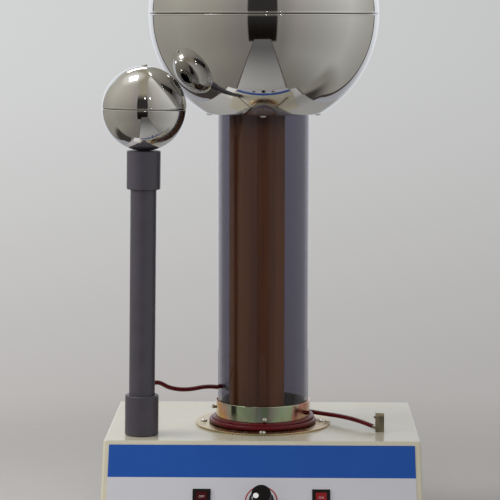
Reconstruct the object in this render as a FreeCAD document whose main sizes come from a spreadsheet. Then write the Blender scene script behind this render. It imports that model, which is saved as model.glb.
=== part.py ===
import FreeCAD, Part
import math
import os

import Sketcher
from FreeCAD import Placement, Rotation, Vector

# A Van de Graaff generator: a sheet-metal cabinet with a motor in it, a clear column that
# carries a rubber belt up to a spun metal dome, and a discharge wand that stands on the lid.
# Millimetres and degrees. +Z is up, -Y is the side of the controls, and the origin is on the
# table under the middle of the whole generator.

doc = FreeCAD.newDocument("VanDeGraaffGenerator")
sheet = doc.addObject("Spreadsheet::Sheet", "Sizes")

SIZES = [
    # Cabinet: a folded cover over a tray, with a sloping control panel.
    ("cabinet_width", 343),
    ("lid_front", 102.5),
    ("lid_back", 129),
    ("panel_lean", 36),
    ("panel_length", 114),
    ("lip_height", 18),
    ("sheet_wall", 1.2),
    ("side_bend", 3),
    ("fold_bend", 1.5),
    ("tray_depth", 14),
    ("tray_wall", 1.5),
    ("foot_height", 10),
    ("foot_radius", 12),
    ("foot_inset", 24),
    ("vent_length", 34),
    ("vent_width", 4),
    ("vent_pitch", 9),
    ("vent_count", 7),
    ("fit_gap", 0.2),
    # Printed fascia on the control panel.
    ("fascia_margin", 6.7),
    ("fascia_start", 5.2),
    ("fascia_end_margin", 8),
    ("fascia_thickness", 0.8),
    # Controls, measured down the panel from its upper edge.
    ("control_row", 70.3),
    ("switch_spacing", 127.2),
    ("bezel_width", 19.2),
    ("bezel_height", 26.6),
    ("bezel_rise", 1.8),
    ("housing_depth", 20),
    ("rocker_width", 11.7),
    ("rocker_reach", 10),
    ("rocker_rest", 10),
    ("rocker_slope", 17),
    ("rocker_pin", 1),
    ("rocker_clearance", 0.3),
    ("knob_height", 20),
    ("knob_radius", 11),
    ("knob_taper", 0.5),
    ("skirt_radius", 13.4),
    ("skirt_height", 3),
    ("pot_radius", 12),
    ("pot_depth", 11),
    ("pot_bush_radius", 4.8),
    ("pot_shaft_radius", 3),
    # Fused mains inlet on the rear wall.
    ("inlet_x", 112),
    ("inlet_height", 58),
    ("inlet_width", 50),
    ("inlet_tall", 34),
    ("inlet_flange", 3),
    ("inlet_body_width", 28),
    ("inlet_body_tall", 30),
    ("inlet_body_depth", 22),
    ("socket_width", 24.4),
    ("socket_tall", 16.4),
    ("socket_depth", 16),
    ("socket_rise", 4),
    ("inlet_screw_spacing", 40),
    ("blade_spacing", 14),
    ("blade_reach", 10.5),
    # Column and the plated collar that holds its foot.
    ("tube_diameter", 101.6),
    ("tube_wall", 4),
    ("collar_gap", 0.15),
    ("collar_wall", 1.8),
    ("collar_height", 27.4),
    ("flange_diameter", 151.6),
    ("flange_thickness", 2),
    ("flange_screw_circle", 133.2),
    ("lid_hole_radius", 44),
    ("collar_screw_height", 18.8),
    ("front_screw_drop", 5.3),
    ("collar_screw_standoff", 3),
    ("collar_screw_radius", 1.5),
    ("collar_head_radius", 2.6),
    # Dome: two spun bowls that meet at a rolled seam.
    ("seam_height", 458.2),
    ("dome_diameter", 254),
    ("dome_wall", 1),
    ("dome_flat_width", 7.95),
    ("dome_screw_inset", 3.9),
    ("seam_bend", 2),
    ("seam_bead", 0.35),
    ("seam_lip", 7),
    ("seam_gap", 0.7),
    ("seam_clearance", 0.3),
    ("rim_ring_wall", 1.5),
    ("rim_ring_height", 16),
    ("mount_flange", 5),
    ("mount_hub_wall", 4.8),
    ("mount_hub_height", 22),
    # Belt and its two rollers.
    ("belt_width", 60),
    ("belt_thickness", 0.9),
    ("belt_shift", -6.5),
    ("belt_clearance", 0.3),
    ("lower_roller_radius", 22),
    ("upper_roller_radius", 19),
    ("roller_length", 76),
    ("roller_crown", 0.6),
    ("lower_axle_height", 38),
    ("upper_axle_rise", 34),
    ("drive_shaft_radius", 5),
    ("upper_axle_radius", 4),
    ("running_gap", 0.03),
    ("bearing_radius", 11),
    ("bearing_width", 7),
    ("yoke_wall", 2.5),
    ("yoke_width", 30),
    ("frame_wall", 3),
    ("frame_gap", 6),
    ("frame_length", 58),
    ("bush_radius", 8),
    ("bush_flange_radius", 12),
    ("comb_tooth_pitch", 5),
    ("comb_tooth_reach", 4),
    ("comb_depth", 8),
    ("comb_thickness", 0.6),
    ("comb_gap", 2.5),
    ("bracket_wall", 1.5),
    ("upper_bracket_width", 14),
    # Motor that drives the lower roller.
    ("motor_radius", 29),
    ("motor_length", 78),
    ("motor_bell_length", 10),
    ("motor_band_inset", 18),
    ("cradle_inset", 20),
    ("motor_shaft_radius", 4),
    ("coupling_radius", 9),
    ("coupling_length", 24),
    # Speed board on the tray.
    ("board_length", 92),
    ("board_width", 62),
    ("board_thickness", 1.6),
    ("standoff_height", 8),
    ("board_margin", 8),
    ("heat_sink_length", 30),
    ("heat_sink_height", 24),
    ("heat_sink_base", 4),
    ("heat_sink_fin", 9),
    ("fin_thickness", 2),
    ("fin_count", 5),
    ("capacitor_radius", 8),
    ("capacitor_height", 24),
    ("terminal_length", 34),
    ("terminal_width", 9),
    ("terminal_height", 10),
    ("choke_width", 14),
    ("choke_height", 12),
    # Discharge wand.
    ("wand_x", -132.3),
    ("wand_y", -68),
    ("wand_lean", 0.7),
    ("wand_gap", 0.3),
    ("coupling_outer", 18.3),
    ("coupling_wall", 4.2),
    ("wand_foot_height", 43.7),
    ("wand_socket_height", 41.6),
    ("wand_socket_base", 269.1),
    ("pipe_wall", 2.8),
    ("glue_gap", 0.1),
    ("ball_radius", 46),
    ("ball_wall", 1),
    ("ball_flat_radius", 6),
    ("stud_radius", 3),
    ("lead_exit_height", 54.5),
    ("lead_exit_turn", 50),
    # Earth clip and the red lead.
    ("clip_x", 129.3),
    ("clip_front", -50.9),
    ("clip_width", 9.4),
    ("clip_depth", 9.6),
    ("clip_height", 20.6),
    ("clip_wall", 1.2),
    ("clip_stem_radius", 1.3),
    ("clip_stem_reach", 1.8),
    ("lead_diameter", 5),
    ("ferrule_radius", 2.2),
    ("ferrule_length", 4.5),
    ("coil_gap", 0.4),
    # Fasteners.
    ("screw_radius", 2),
    ("screw_head_radius", 3.9),
    ("screw_head_height", 2.3),
]


# --- Sizes that remember where they come from ------------------------------------------------

class Size:
    """A number together with the spreadsheet expression that gives it."""

    def __init__(self, value, text):
        self.value = value
        self.text = text

    def __add__(self, other):
        other = as_size(other)
        return Size(self.value + other.value, f"({self.text} + {other.text})")

    def __sub__(self, other):
        other = as_size(other)
        return Size(self.value - other.value, f"({self.text} - {other.text})")

    def __mul__(self, other):
        other = as_size(other)
        return Size(self.value * other.value, f"({self.text} * {other.text})")

    def __truediv__(self, other):
        other = as_size(other)
        return Size(self.value / other.value, f"({self.text} / {other.text})")

    def __radd__(self, other):
        return as_size(other) + self

    def __rsub__(self, other):
        return as_size(other) - self

    def __rmul__(self, other):
        return as_size(other) * self

    def __neg__(self):
        return Size(-self.value, f"(0 - {self.text})")


def as_size(amount):
    """Makes a plain number usable beside a Size."""
    if isinstance(amount, Size):
        return amount
    return Size(float(amount), f"({amount})")


def sine(angle):
    angle = as_size(angle)
    return Size(math.sin(math.radians(angle.value)), f"sin({angle.text})")


def cosine(angle):
    angle = as_size(angle)
    return Size(math.cos(math.radians(angle.value)), f"cos({angle.text})")


def whole_number(amount):
    return Size(math.floor(amount.value), f"floor({amount.text})")


def root(amount):
    return Size(math.sqrt(amount.value), f"sqrt({amount.text})")


def height_at(radius, reach):
    """How far a circle of this radius stands off its centre line at a given reach."""
    return root(as_size(radius) * radius - as_size(reach) * reach)


class Sheet:
    """The spreadsheet's cells by name, such as size.tube_wall."""

    def __init__(self, rows):
        for row, (name, value) in enumerate(rows, start=1):
            sheet.set(f"A{row}", name)
            sheet.set(f"B{row}", str(value))
            sheet.setAlias(f"B{row}", name)
            setattr(self, name, Size(float(value), f"Sizes.{name}"))


size = Sheet(SIZES)
doc.recompute()


# --- Helpers that tie FreeCAD objects to the sheet ------------------------------------------

def bind(item, path, amount):
    """Ties one property of an object to the sheet."""
    item.setExpression(path, as_size(amount).text)


def place(item, at=(0, 0, 0), axis=(0, 0, 1), angle=0, path="Placement"):
    """Puts an object at a bound position, turned by a bound angle about an axis."""
    at = [as_size(amount) for amount in at]
    base = Vector(*[amount.value for amount in at])
    setattr(item, path, Placement(base, Rotation(Vector(*axis), as_size(angle).value)))
    for letter, amount in zip("xyz", at):
        bind(item, f".{path}.Base.{letter}", amount)
    if isinstance(angle, Size):
        bind(item, f".{path}.Rotation.Angle", angle)
    return item


def new_body(label):
    body = doc.addObject("PartDesign::Body", label)
    body.AllowCompound = True
    return body


def origin_part(body, role):
    return [item for item in body.Origin.OriginFeatures if item.Role == role][0]


def new_sketch(body, plane, name, at=(0, 0, 0), axis=(0, 0, 1), angle=0):
    """A sketch on one of the body's own planes, moved and turned in that plane's frame."""
    sketch = body.newObject("Sketcher::SketchObject", name)
    sketch.AttachmentSupport = [(origin_part(body, plane), "")]
    sketch.MapMode = "FlatFace"
    place(sketch, at, axis, angle, path="AttachmentOffset")
    return sketch


def pin_point(sketch, piece, end, x, y):
    """Holds one point of a sketch at a bound place."""
    for kind, amount in (("DistanceX", x), ("DistanceY", y)):
        number = sketch.addConstraint(Sketcher.Constraint(kind, -1, 1, piece, end, amount.value))
        sketch.setExpression(f"Constraints[{number}]", amount.text)


def set_radius(sketch, piece, radius):
    number = sketch.addConstraint(Sketcher.Constraint("Radius", piece, radius.value))
    sketch.setExpression(f"Constraints[{number}]", radius.text)


def arc_between(start, end, radius):
    """The short arc between two points; a positive radius turns left, a negative one right."""
    chord = end - start
    across = Vector(-chord.y, chord.x, 0).normalize()
    side = math.copysign(1, radius)
    middle = (start + end) * 0.5
    centre = middle + across * side * math.sqrt(max(radius * radius - chord.Length ** 2 / 4, 0))
    first, last = (start, end) if radius > 0 else (end, start)
    angles = [math.atan2(point.y - centre.y, point.x - centre.x) for point in (first, last)]
    return Part.ArcOfCircle(Part.Circle(centre, Vector(0, 0, 1), abs(radius)), *angles)


def outline(sketch, corners):
    """Draws a closed outline. A corner is (x, y), or (x, y, radius) where an arc starts."""
    points = [(as_size(corner[0]), as_size(corner[1])) for corner in corners]
    vectors = [Vector(x.value, y.value, 0) for x, y in points]
    pieces = []
    for number, corner in enumerate(corners):
        start = vectors[number]
        end = vectors[(number + 1) % len(corners)]
        if len(corner) == 3:
            radius = as_size(corner[2])
            piece = sketch.addGeometry(arc_between(start, end, radius.value), False)
            set_radius(sketch, piece, radius if radius.value > 0 else -radius)
            ends = (1, 2) if radius.value > 0 else (2, 1)
        else:
            piece = sketch.addGeometry(Part.LineSegment(start, end), False)
            ends = (1, 2)
        pieces.append((piece, ends))
    for number, (piece, ends) in enumerate(pieces):
        follower, follower_ends = pieces[(number + 1) % len(pieces)]
        sketch.addConstraint(
            Sketcher.Constraint("Coincident", piece, ends[1], follower, follower_ends[0]))
        pin_point(sketch, piece, ends[0], *points[number])


def circle(sketch, x, y, radius):
    x, y, radius = as_size(x), as_size(y), as_size(radius)
    shape = Part.Circle(Vector(x.value, y.value, 0), Vector(0, 0, 1), radius.value)
    piece = sketch.addGeometry(shape, False)
    set_radius(sketch, piece, radius)
    pin_point(sketch, piece, 3, x, y)


def rectangle(sketch, x, y, width, height):
    """A rectangle about a centre."""
    half_width, half_height = as_size(width) / 2, as_size(height) / 2
    outline(sketch, [
        (x - half_width, y - half_height), (x + half_width, y - half_height),
        (x + half_width, y + half_height), (x - half_width, y + half_height),
    ])


def pad(body, sketch, length, both_ways=False, backwards=False):
    feature = body.newObject("PartDesign::Pad", sketch.Name + "_pad")
    feature.Profile = sketch
    feature.SideType = "Symmetric" if both_ways else "One side"
    feature.Reversed = backwards
    bind(feature, "Length", length)
    return feature


def pocket(body, sketch, length, both_ways=True, backwards=False):
    """Cuts a sketch out of the body, to both sides of its plane unless told otherwise."""
    feature = body.newObject("PartDesign::Pocket", sketch.Name + "_pocket")
    feature.Profile = sketch
    feature.SideType = "Symmetric" if both_ways else "One side"
    feature.Reversed = backwards
    bind(feature, "Length", length)
    return feature


def revolve(body, sketch, axis="V_Axis"):
    feature = body.newObject("PartDesign::Revolution", sketch.Name + "_revolved")
    feature.Profile = sketch
    feature.ReferenceAxis = (sketch, [axis])
    feature.Angle = 360
    return feature


def polar(body, feature, count, role="Z_Axis"):
    pattern = body.newObject("PartDesign::PolarPattern", feature.Name + "_ring")
    pattern.Originals = [feature]
    pattern.Axis = (origin_part(body, role), [""])
    pattern.Angle = 360
    pattern.Occurrences = count
    body.Tip = pattern
    return pattern


def row(body, feature, sketch, spacing, count, axis="H_Axis"):
    """Repeats a feature along one axis of its sketch."""
    pattern = body.newObject("PartDesign::LinearPattern", feature.Name + "_row")
    pattern.Originals = [feature]
    pattern.Direction = (sketch, [axis])
    bind(pattern, "Length", spacing * (count - 1))
    bind(pattern, "Occurrences", count)
    body.Tip = pattern
    return pattern


def turned(label, corners, at=(0, 0, 0), plane="XZ_Plane", axis="V_Axis"):
    """A body of revolution from half its outline: (radius, height), or (along, radius)."""
    body = new_body(label)
    sketch = new_sketch(body, plane, label + "_outline")
    outline(sketch, corners)
    revolve(body, sketch, axis)
    place(body, at)
    return body


def turned_about_x(label, corners, at=(0, 0, 0)):
    """A body of revolution about X, from points (along X, radius)."""
    return turned(label, corners, at, plane="XY_Plane", axis="H_Axis")


def block(name, lengths, at):
    """A plain block from its lowest corner."""
    item = doc.addObject("Part::Box", name)
    for side, length in zip(("Length", "Width", "Height"), lengths):
        bind(item, side, length)
    return place(item, at)


def rod(name, radius, length, at, axis=(0, 0, 1), angle=0):
    """A cylinder from the centre of its first end; unturned, it runs up along Z."""
    item = doc.addObject("Part::Cylinder", name)
    bind(item, "Radius", radius)
    bind(item, "Height", length)
    return place(item, at, axis, angle)


def joined(label, pieces):
    item = doc.addObject("Part::MultiFuse", label)
    item.Shapes = pieces
    return item


def group(label, pieces):
    item = doc.addObject("Part::Compound", label)
    item.Links = pieces
    return item


def cut(label, base, tools):
    item = doc.addObject("Part::Cut", label)
    item.Base = base
    item.Tool = group(label + "_tools", tools) if len(tools) > 1 else tools[0]
    return item


def screw(name, at, length, axis=(1, 0, 0), angle=0, standoff=0,
          radius=size.screw_radius, head_radius=size.screw_head_radius):
    """A pan-head screw with the seat of its head at a point; unturned, its shank points down."""
    crown = size.screw_head_height / 2
    seat = as_size(standoff)
    shank = rod(name + "_shank", radius, length + seat, (0, 0, -as_size(length)))
    head = rod(name + "_head", head_radius, crown, (0, 0, seat))
    top = doc.addObject("Part::Cone", name + "_crown")
    bind(top, "Radius1", head_radius)
    bind(top, "Radius2", head_radius * 0.6)
    bind(top, "Height", crown)
    place(top, (0, 0, seat + crown))
    return place(joined(name, [shank, head, top]), at, axis, angle)


nodes = []


def finish(item, label=None):
    """Marks an object as one of the generator's sub-parts."""
    if label:
        item.Label = label
    nodes.append(item)
    return item


# --- Places worked out from the sizes ---------------------------------------------------------

LEFT_RIGHT = (("left", -1), ("right", 1))

lean_sine = sine(size.panel_lean)
lean_cosine = cosine(size.panel_lean)
panel_run = size.panel_length * lean_sine
panel_drop = size.panel_length * lean_cosine
lip_top = size.foot_height + size.lip_height
lid_z = lip_top + panel_drop
column_y = (size.lid_front + panel_run - size.lid_back - size.inlet_flange) / 2
panel_y = column_y - size.lid_front
front_y = panel_y - panel_run
back_y = column_y + size.lid_back
half_width = size.cabinet_width / 2
panel_turn = 90 - size.panel_lean

tube_radius = size.tube_diameter / 2
tube_bore = tube_radius - size.tube_wall
collar_bore = tube_radius + size.collar_gap
collar_radius = collar_bore + size.collar_wall
tube_base = lid_z + size.flange_thickness

mount_hub_bore = tube_radius + size.collar_gap
mount_hub_radius = mount_hub_bore + size.mount_hub_wall
dome_flat_radius = mount_hub_radius + size.dome_flat_width
dome_screw_reach = dome_flat_radius - size.dome_screw_inset

dome_radius = size.dome_diameter / 2
seam_z = lid_z + size.seam_height
dome_floor = seam_z - height_at(dome_radius, dome_flat_radius)
mount_base = dome_floor + size.dome_wall
mount_top = mount_base + size.mount_hub_height
upper_axle_z = mount_top + size.upper_axle_rise
tray_top = size.foot_height + size.tray_wall
lower_axle_z = tray_top + size.lower_axle_height
frame_half = size.roller_length / 2 + size.frame_gap

pipe_radius = size.coupling_outer - size.coupling_wall
wand_x = size.wand_x
wand_y = column_y + size.wand_y
wand_base = lid_z + size.wand_gap


def on_panel(down, x=0, rise=0):
    """A point on the control panel: down the slope, across, and out from its face."""
    return (x, panel_y - lean_sine * down - lean_cosine * rise,
            lid_z - lean_cosine * down + lean_sine * rise)


def tilt_to_panel(item, down, x=0, rise=0):
    """Lays an object on the control panel: its Y points up the slope and its Z outwards."""
    return place(item, on_panel(down, x, rise), (1, 0, 0), panel_turn)


def stand_on_wand(item, height=0):
    """Puts an object on the wand's axis, which leans a little towards the column."""
    lean = size.wand_lean
    return place(item, (wand_x + sine(lean) * height, wand_y, wand_base + cosine(lean) * height),
                 (0, 1, 0), lean)


# --- Cabinet ------------------------------------------------------------------------------------

def find_edges(feature, wanted):
    """The names of a feature's edges whose box passes a test."""
    doc.recompute()
    edges = enumerate(feature.Shape.Edges, start=1)
    return [f"Edge{number}" for number, edge in edges if wanted(edge.BoundBox)]


def round_edges(body, feature, wanted, radius):
    fillet = body.newObject("PartDesign::Fillet", feature.Name + "_rounded")
    fillet.Base = (feature, find_edges(feature, wanted))
    bind(fillet, "Radius", radius)
    doc.recompute()
    return fillet


SIDE_SCREW_DEPTHS = (0.14, 0.86)
side_screw_z = size.foot_height + size.tray_depth / 2


def side_screw_places():
    """How far back the side screws stand, from the front lip to the rear wall."""
    return [front_y + (back_y - front_y) * share for share in SIDE_SCREW_DEPTHS]


def switch_centres():
    return [(side, size.switch_spacing / 2 * sign) for side, sign in LEFT_RIGHT]


def panel_cuts(body, name, switch_width, switch_height, bush_radius, depth):
    """Cuts the three control openings through a sheet that lies on the panel's slope."""
    flat = body.Placement.isIdentity()
    at = (0, panel_y, lid_z) if flat else (0, 0, 0)
    sketch = new_sketch(body, "XY_Plane", name, at, (1, 0, 0), panel_turn if flat else 0)
    for side, x in switch_centres():
        rectangle(sketch, x, -size.control_row, switch_width, switch_height)
    circle(sketch, 0, -size.control_row, bush_radius)
    pocket(body, sketch, depth)


def make_cover():
    """The folded cover: lid, rear wall, sides, sloping panel and front lip in one shell."""
    wall = size.sheet_wall
    body = new_body("cabinet_cover")
    outer = new_sketch(body, "YZ_Plane", "cover_outline")
    outline(outer, [
        (back_y, size.foot_height), (back_y, lid_z), (panel_y, lid_z),
        (front_y, lip_top), (front_y, size.foot_height),
    ])
    shell = pad(body, outer, size.cabinet_width, both_ways=True)
    limit = half_width.value - 0.01
    floor = size.foot_height.value + 0.01

    def side_edge(box):
        on_side = min(abs(box.XMin), abs(box.XMax)) > limit and box.XLength < 0.1
        return on_side and box.ZMax > floor

    def fold_edge(box):
        return box.XLength > limit and box.ZMax > floor

    rounded = round_edges(body, shell, side_edge, size.side_bend)
    round_edges(body, rounded, fold_edge, size.fold_bend)
    upper_turn = wall * (1 - lean_sine) / lean_cosine
    lower_turn = wall * (1 - lean_cosine) / lean_sine
    inner = new_sketch(body, "YZ_Plane", "cover_inside")
    below = size.foot_height - wall
    outline(inner, [
        (back_y - wall, below), (back_y - wall, lid_z - wall),
        (panel_y + upper_turn, lid_z - wall),
        (front_y + wall, lip_top - lower_turn), (front_y + wall, below),
    ])
    pocket(body, inner, size.cabinet_width - wall * 2)
    lid_holes = new_sketch(body, "XY_Plane", "lid_holes", (0, 0, lid_z))
    circle(lid_holes, 0, column_y, size.lid_hole_radius)
    flange_reach = size.flange_screw_circle / 2
    for x, y in ((1, 0), (0, 1), (-1, 0), (0, -1)):
        circle(lid_holes, flange_reach * x, column_y + flange_reach * y,
               size.screw_radius + size.fit_gap)
    circle(lid_holes, size.clip_x, clip_screw_y(), size.screw_radius + size.fit_gap)
    pocket(body, lid_holes, wall * 4)
    side_holes = new_sketch(body, "YZ_Plane", "side_holes")
    for y in side_screw_places():
        circle(side_holes, y, side_screw_z, size.screw_radius + size.fit_gap)
    pocket(body, side_holes, size.cabinet_width + wall)
    gap = size.fit_gap * 2
    panel_cuts(body, "panel_openings", size.bezel_width - 2 + gap, size.bezel_height - 2 + gap,
               size.pot_bush_radius + size.fit_gap, wall * 4)
    rear = new_sketch(body, "XZ_Plane", "inlet_opening", (0, 0, -back_y))
    rectangle(rear, size.inlet_x, size.inlet_height, size.inlet_body_width + gap,
              size.inlet_body_tall + gap)
    for side, sign in LEFT_RIGHT:
        circle(rear, size.inlet_x + size.inlet_screw_spacing / 2 * sign, size.inlet_height,
               size.screw_radius + size.fit_gap)
    pocket(body, rear, wall * 4)
    vents = new_sketch(body, "XZ_Plane", "rear_vent", (0, 0, -back_y))
    end = size.vent_width / 2
    reach = size.vent_length / 2 - end
    first = -size.inlet_x - size.vent_pitch * (size.vent_count - 1) / 2
    middle = size.inlet_height
    outline(vents, [
        (first - end, middle - reach, end), (first, middle - reach - end, end),
        (first + end, middle - reach), (first + end, middle + reach, end),
        (first, middle + reach + end, end), (first - end, middle + reach),
    ])
    slot = pocket(body, vents, wall * 4)
    row(body, slot, vents, size.vent_pitch, size.vent_count)
    finish(body)


def tray_bounds():
    """The tray's outside, just inside the cover's walls."""
    gap = size.sheet_wall + size.fit_gap
    return half_width - gap, front_y + gap, back_y - gap


def make_tray():
    """The floor tray that closes the cabinet, with turned-up edges the side screws hold."""
    half, low, high = tray_bounds()
    body = new_body("base_tray")
    middle = (low + high) / 2
    outer = new_sketch(body, "XY_Plane", "tray_outline", (0, 0, size.foot_height))
    rectangle(outer, as_size(0), middle, half * 2, high - low)
    pad(body, outer, size.tray_depth)
    inner = new_sketch(body, "XY_Plane", "tray_inside", (0, 0, tray_top))
    rectangle(inner, as_size(0), middle, (half - size.tray_wall) * 2,
              high - low - size.tray_wall * 2)
    pocket(body, inner, size.tray_depth, both_ways=False, backwards=True)
    side_holes = new_sketch(body, "YZ_Plane", "tray_side_holes")
    for y in side_screw_places():
        circle(side_holes, y, side_screw_z, size.screw_radius + size.fit_gap)
    pocket(body, side_holes, size.cabinet_width)
    foot_holes = new_sketch(body, "XY_Plane", "tray_foot_holes", (0, 0, size.foot_height))
    for name, x, y in foot_places():
        circle(foot_holes, x, y, size.screw_radius + size.fit_gap)
    pocket(body, foot_holes, size.tray_wall * 4)
    vents = new_sketch(body, "XY_Plane", "floor_vent", (0, 0, size.foot_height))
    rectangle(vents, -half / 2 - size.vent_pitch * (size.vent_count - 1) / 2, middle - half / 3,
              size.vent_width, size.vent_length)
    slot = pocket(body, vents, size.tray_wall * 4)
    row(body, slot, vents, size.vent_pitch, size.vent_count)
    finish(body)


def foot_places():
    """The four feet, each with the corner of the cabinet it stands under."""
    inset = size.foot_inset
    places = []
    for depth, y in (("front", front_y + inset), ("rear", back_y - inset)):
        for side, sign in LEFT_RIGHT:
            places.append((f"{depth}_{side}", (half_width - inset) * sign, y))
    return places


def make_feet():
    """Moulded rubber feet, each a tapered plug with a screw recessed into it."""
    recess = size.foot_height * 0.45
    recess_radius = size.screw_head_radius + size.fit_gap * 4
    bore = size.screw_radius + size.fit_gap
    screws = []
    for name, x, y in foot_places():
        finish(turned("foot_" + name, [
            (bore, recess), (recess_radius, recess), (recess_radius, 0),
            (size.foot_radius * 0.84, 0), (size.foot_radius, size.foot_height * 0.7),
            (size.foot_radius, size.foot_height), (bore, size.foot_height),
        ], (x, y, 0)))
        length = size.foot_height - recess + size.tray_wall * 3
        screws.append(screw("foot_screw_" + name, (x, y, recess), length, angle=180))
    return screws


def make_case_screws(screws):
    """The feet's screws, with those in the cabinet's sides and in the inlet's flange."""
    length = size.sheet_wall + size.fit_gap + size.tray_wall * 3
    for side, sign in LEFT_RIGHT:
        for number, y in enumerate(side_screw_places()):
            screws.append(screw(f"side_screw_{side}_{number}", (half_width * sign, y, side_screw_z),
                                length, (0, 1, 0), 90 * sign))
        inlet_screw_x = size.inlet_x + size.inlet_screw_spacing / 2 * sign
        at = (inlet_screw_x, back_y + size.inlet_flange - inlet_sink(), size.inlet_height)
        screws.append(screw(f"inlet_screw_{side}", at, size.inlet_flange + size.sheet_wall * 2,
                            (1, 0, 0), -90))
    finish(group("case_screws", screws))


def inlet_sink():
    """How deep the inlet's screw heads sit in its flange."""
    return size.screw_head_height


def make_fascia():
    """The thin printed plate on the control panel, with a blank title band."""
    body = new_body("control_fascia")
    tilt_to_panel(body, 0)
    plate = new_sketch(body, "XY_Plane", "fascia_plate")
    end = size.panel_length - size.fascia_end_margin
    middle = (size.fascia_start + end) / 2
    rectangle(plate, as_size(0), -middle, size.cabinet_width - size.fascia_margin * 2,
              end - size.fascia_start)
    pad(body, plate, size.fascia_thickness)
    gap = size.fit_gap * 2
    panel_cuts(body, "fascia_openings", size.bezel_width - 2 + gap, size.bezel_height - 2 + gap,
               size.pot_bush_radius + size.fit_gap, size.fascia_thickness * 4)
    finish(body)


# --- Controls ------------------------------------------------------------------------------------

# Which way each rocker is tipped: the left one has its upper half out, the right one in.
ROCKER_REST = {"left": 1, "right": -1}


def make_switch(side, x):
    """A rocker switch: a housing that snaps into the panel, and its rocker on two pins."""
    name = "switch_housing_" + side
    rise = size.fascia_thickness
    well_half = size.rocker_reach + size.rocker_clearance
    well_width = size.rocker_width + size.rocker_clearance * 2
    well_depth = size.rocker_reach * 0.6
    body = new_body(name + "_blank")
    rim = new_sketch(body, "XY_Plane", name + "_rim")
    rectangle(rim, as_size(0), as_size(0), size.bezel_width, size.bezel_height)
    pad(body, rim, size.bezel_rise)
    box = new_sketch(body, "XY_Plane", name + "_box")
    rectangle(box, as_size(0), as_size(0), size.bezel_width - 2, size.bezel_height - 2)
    pad(body, box, size.housing_depth, backwards=True)
    well = new_sketch(body, "XY_Plane", name + "_well", (0, 0, size.bezel_rise))
    rectangle(well, as_size(0), as_size(0), well_width, well_half * 2)
    pocket(body, well, size.bezel_rise + well_depth, both_ways=False)
    tabs = new_sketch(body, "XY_Plane", name + "_tab", (0, 0, -size.housing_depth))
    rectangle(tabs, as_size(0), -size.bezel_height / 4, size.rocker_width / 2, size.clip_wall)
    tab = pad(body, tabs, size.housing_depth * 0.35, backwards=True)
    row(body, tab, tabs, size.bezel_height / 4, as_size(3), axis="V_Axis")
    pin_holes = rod(name + "_pin_holes", size.rocker_pin + size.running_gap,
                    well_width + size.rocker_pin * 3,
                    (-(well_width / 2 + size.rocker_pin * 1.5), 0, 0), (0, 1, 0), 90)
    housing = cut(name, body, [pin_holes])
    tilt_to_panel(housing, size.control_row, x, rise)
    finish(housing)

    reach = size.rocker_reach
    across, up = reach * cosine(size.rocker_slope), reach * sine(size.rocker_slope)
    rocker = new_body("rocker_" + side)
    sketch = new_sketch(rocker, "YZ_Plane", "rocker_outline_" + side)
    outline(sketch, [
        (-across, -up), (across, -up, reach), (across, up), (0, size.rocker_pin * 1.6),
        (-across, up, reach),
    ])
    pad(rocker, sketch, size.rocker_width, both_ways=True)
    pins = new_sketch(rocker, "YZ_Plane", "rocker_pins_" + side)
    circle(pins, 0, 0, size.rocker_pin)
    pad(rocker, pins, well_width + size.rocker_pin * 2, both_ways=True)
    rest = size.rocker_rest * ROCKER_REST[side]
    place(rocker, on_panel(size.control_row, x, rise), (1, 0, 0), panel_turn + rest)
    finish(rocker)


def make_speed_control():
    """The speed potentiometer behind the panel, its shaft, and the skirted knob."""
    face = size.fascia_thickness
    bush_top = face + 5
    case = turned("pot_case", [
        (size.pot_shaft_radius + size.running_gap, -size.sheet_wall - size.pot_depth),
        (size.pot_radius, -size.sheet_wall - size.pot_depth),
        (size.pot_radius, -size.sheet_wall),
        (size.pot_bush_radius, -size.sheet_wall),
        (size.pot_bush_radius, face),
        (size.pot_bush_radius + 3, face),
        (size.pot_bush_radius + 3, face + 2),
        (size.pot_bush_radius, face + 2),
        (size.pot_bush_radius, bush_top),
        (size.pot_shaft_radius + size.running_gap, bush_top),
    ])
    finish(tilt_to_panel(case, size.control_row))
    knob_base = face + 1
    knob_top = knob_base + size.knob_height
    shaft_top = knob_top - 5
    shaft = turned("pot_shaft", [
        (0, -size.sheet_wall - size.pot_depth + 1),
        (size.pot_shaft_radius, -size.sheet_wall - size.pot_depth + 1),
        (size.pot_shaft_radius, shaft_top), (0, shaft_top),
    ])
    finish(tilt_to_panel(shaft, size.control_row))
    hollow = size.pot_bush_radius + 4
    skirt_top = knob_base + size.skirt_height
    edge = 1.2
    knob = turned("speed_knob", [
        (0, shaft_top), (size.pot_shaft_radius, shaft_top),
        (size.pot_shaft_radius, bush_top + 1), (hollow, bush_top + 1), (hollow, knob_base),
        (size.skirt_radius, knob_base), (size.skirt_radius - 0.6, skirt_top),
        (size.knob_radius + 0.4, skirt_top + 0.4), (size.knob_radius, skirt_top + 1.2),
        (size.knob_radius - size.knob_taper, knob_top - edge, edge),
        (size.knob_radius - size.knob_taper - edge, knob_top), (0, knob_top),
    ])
    finish(tilt_to_panel(knob, size.control_row))


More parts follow.
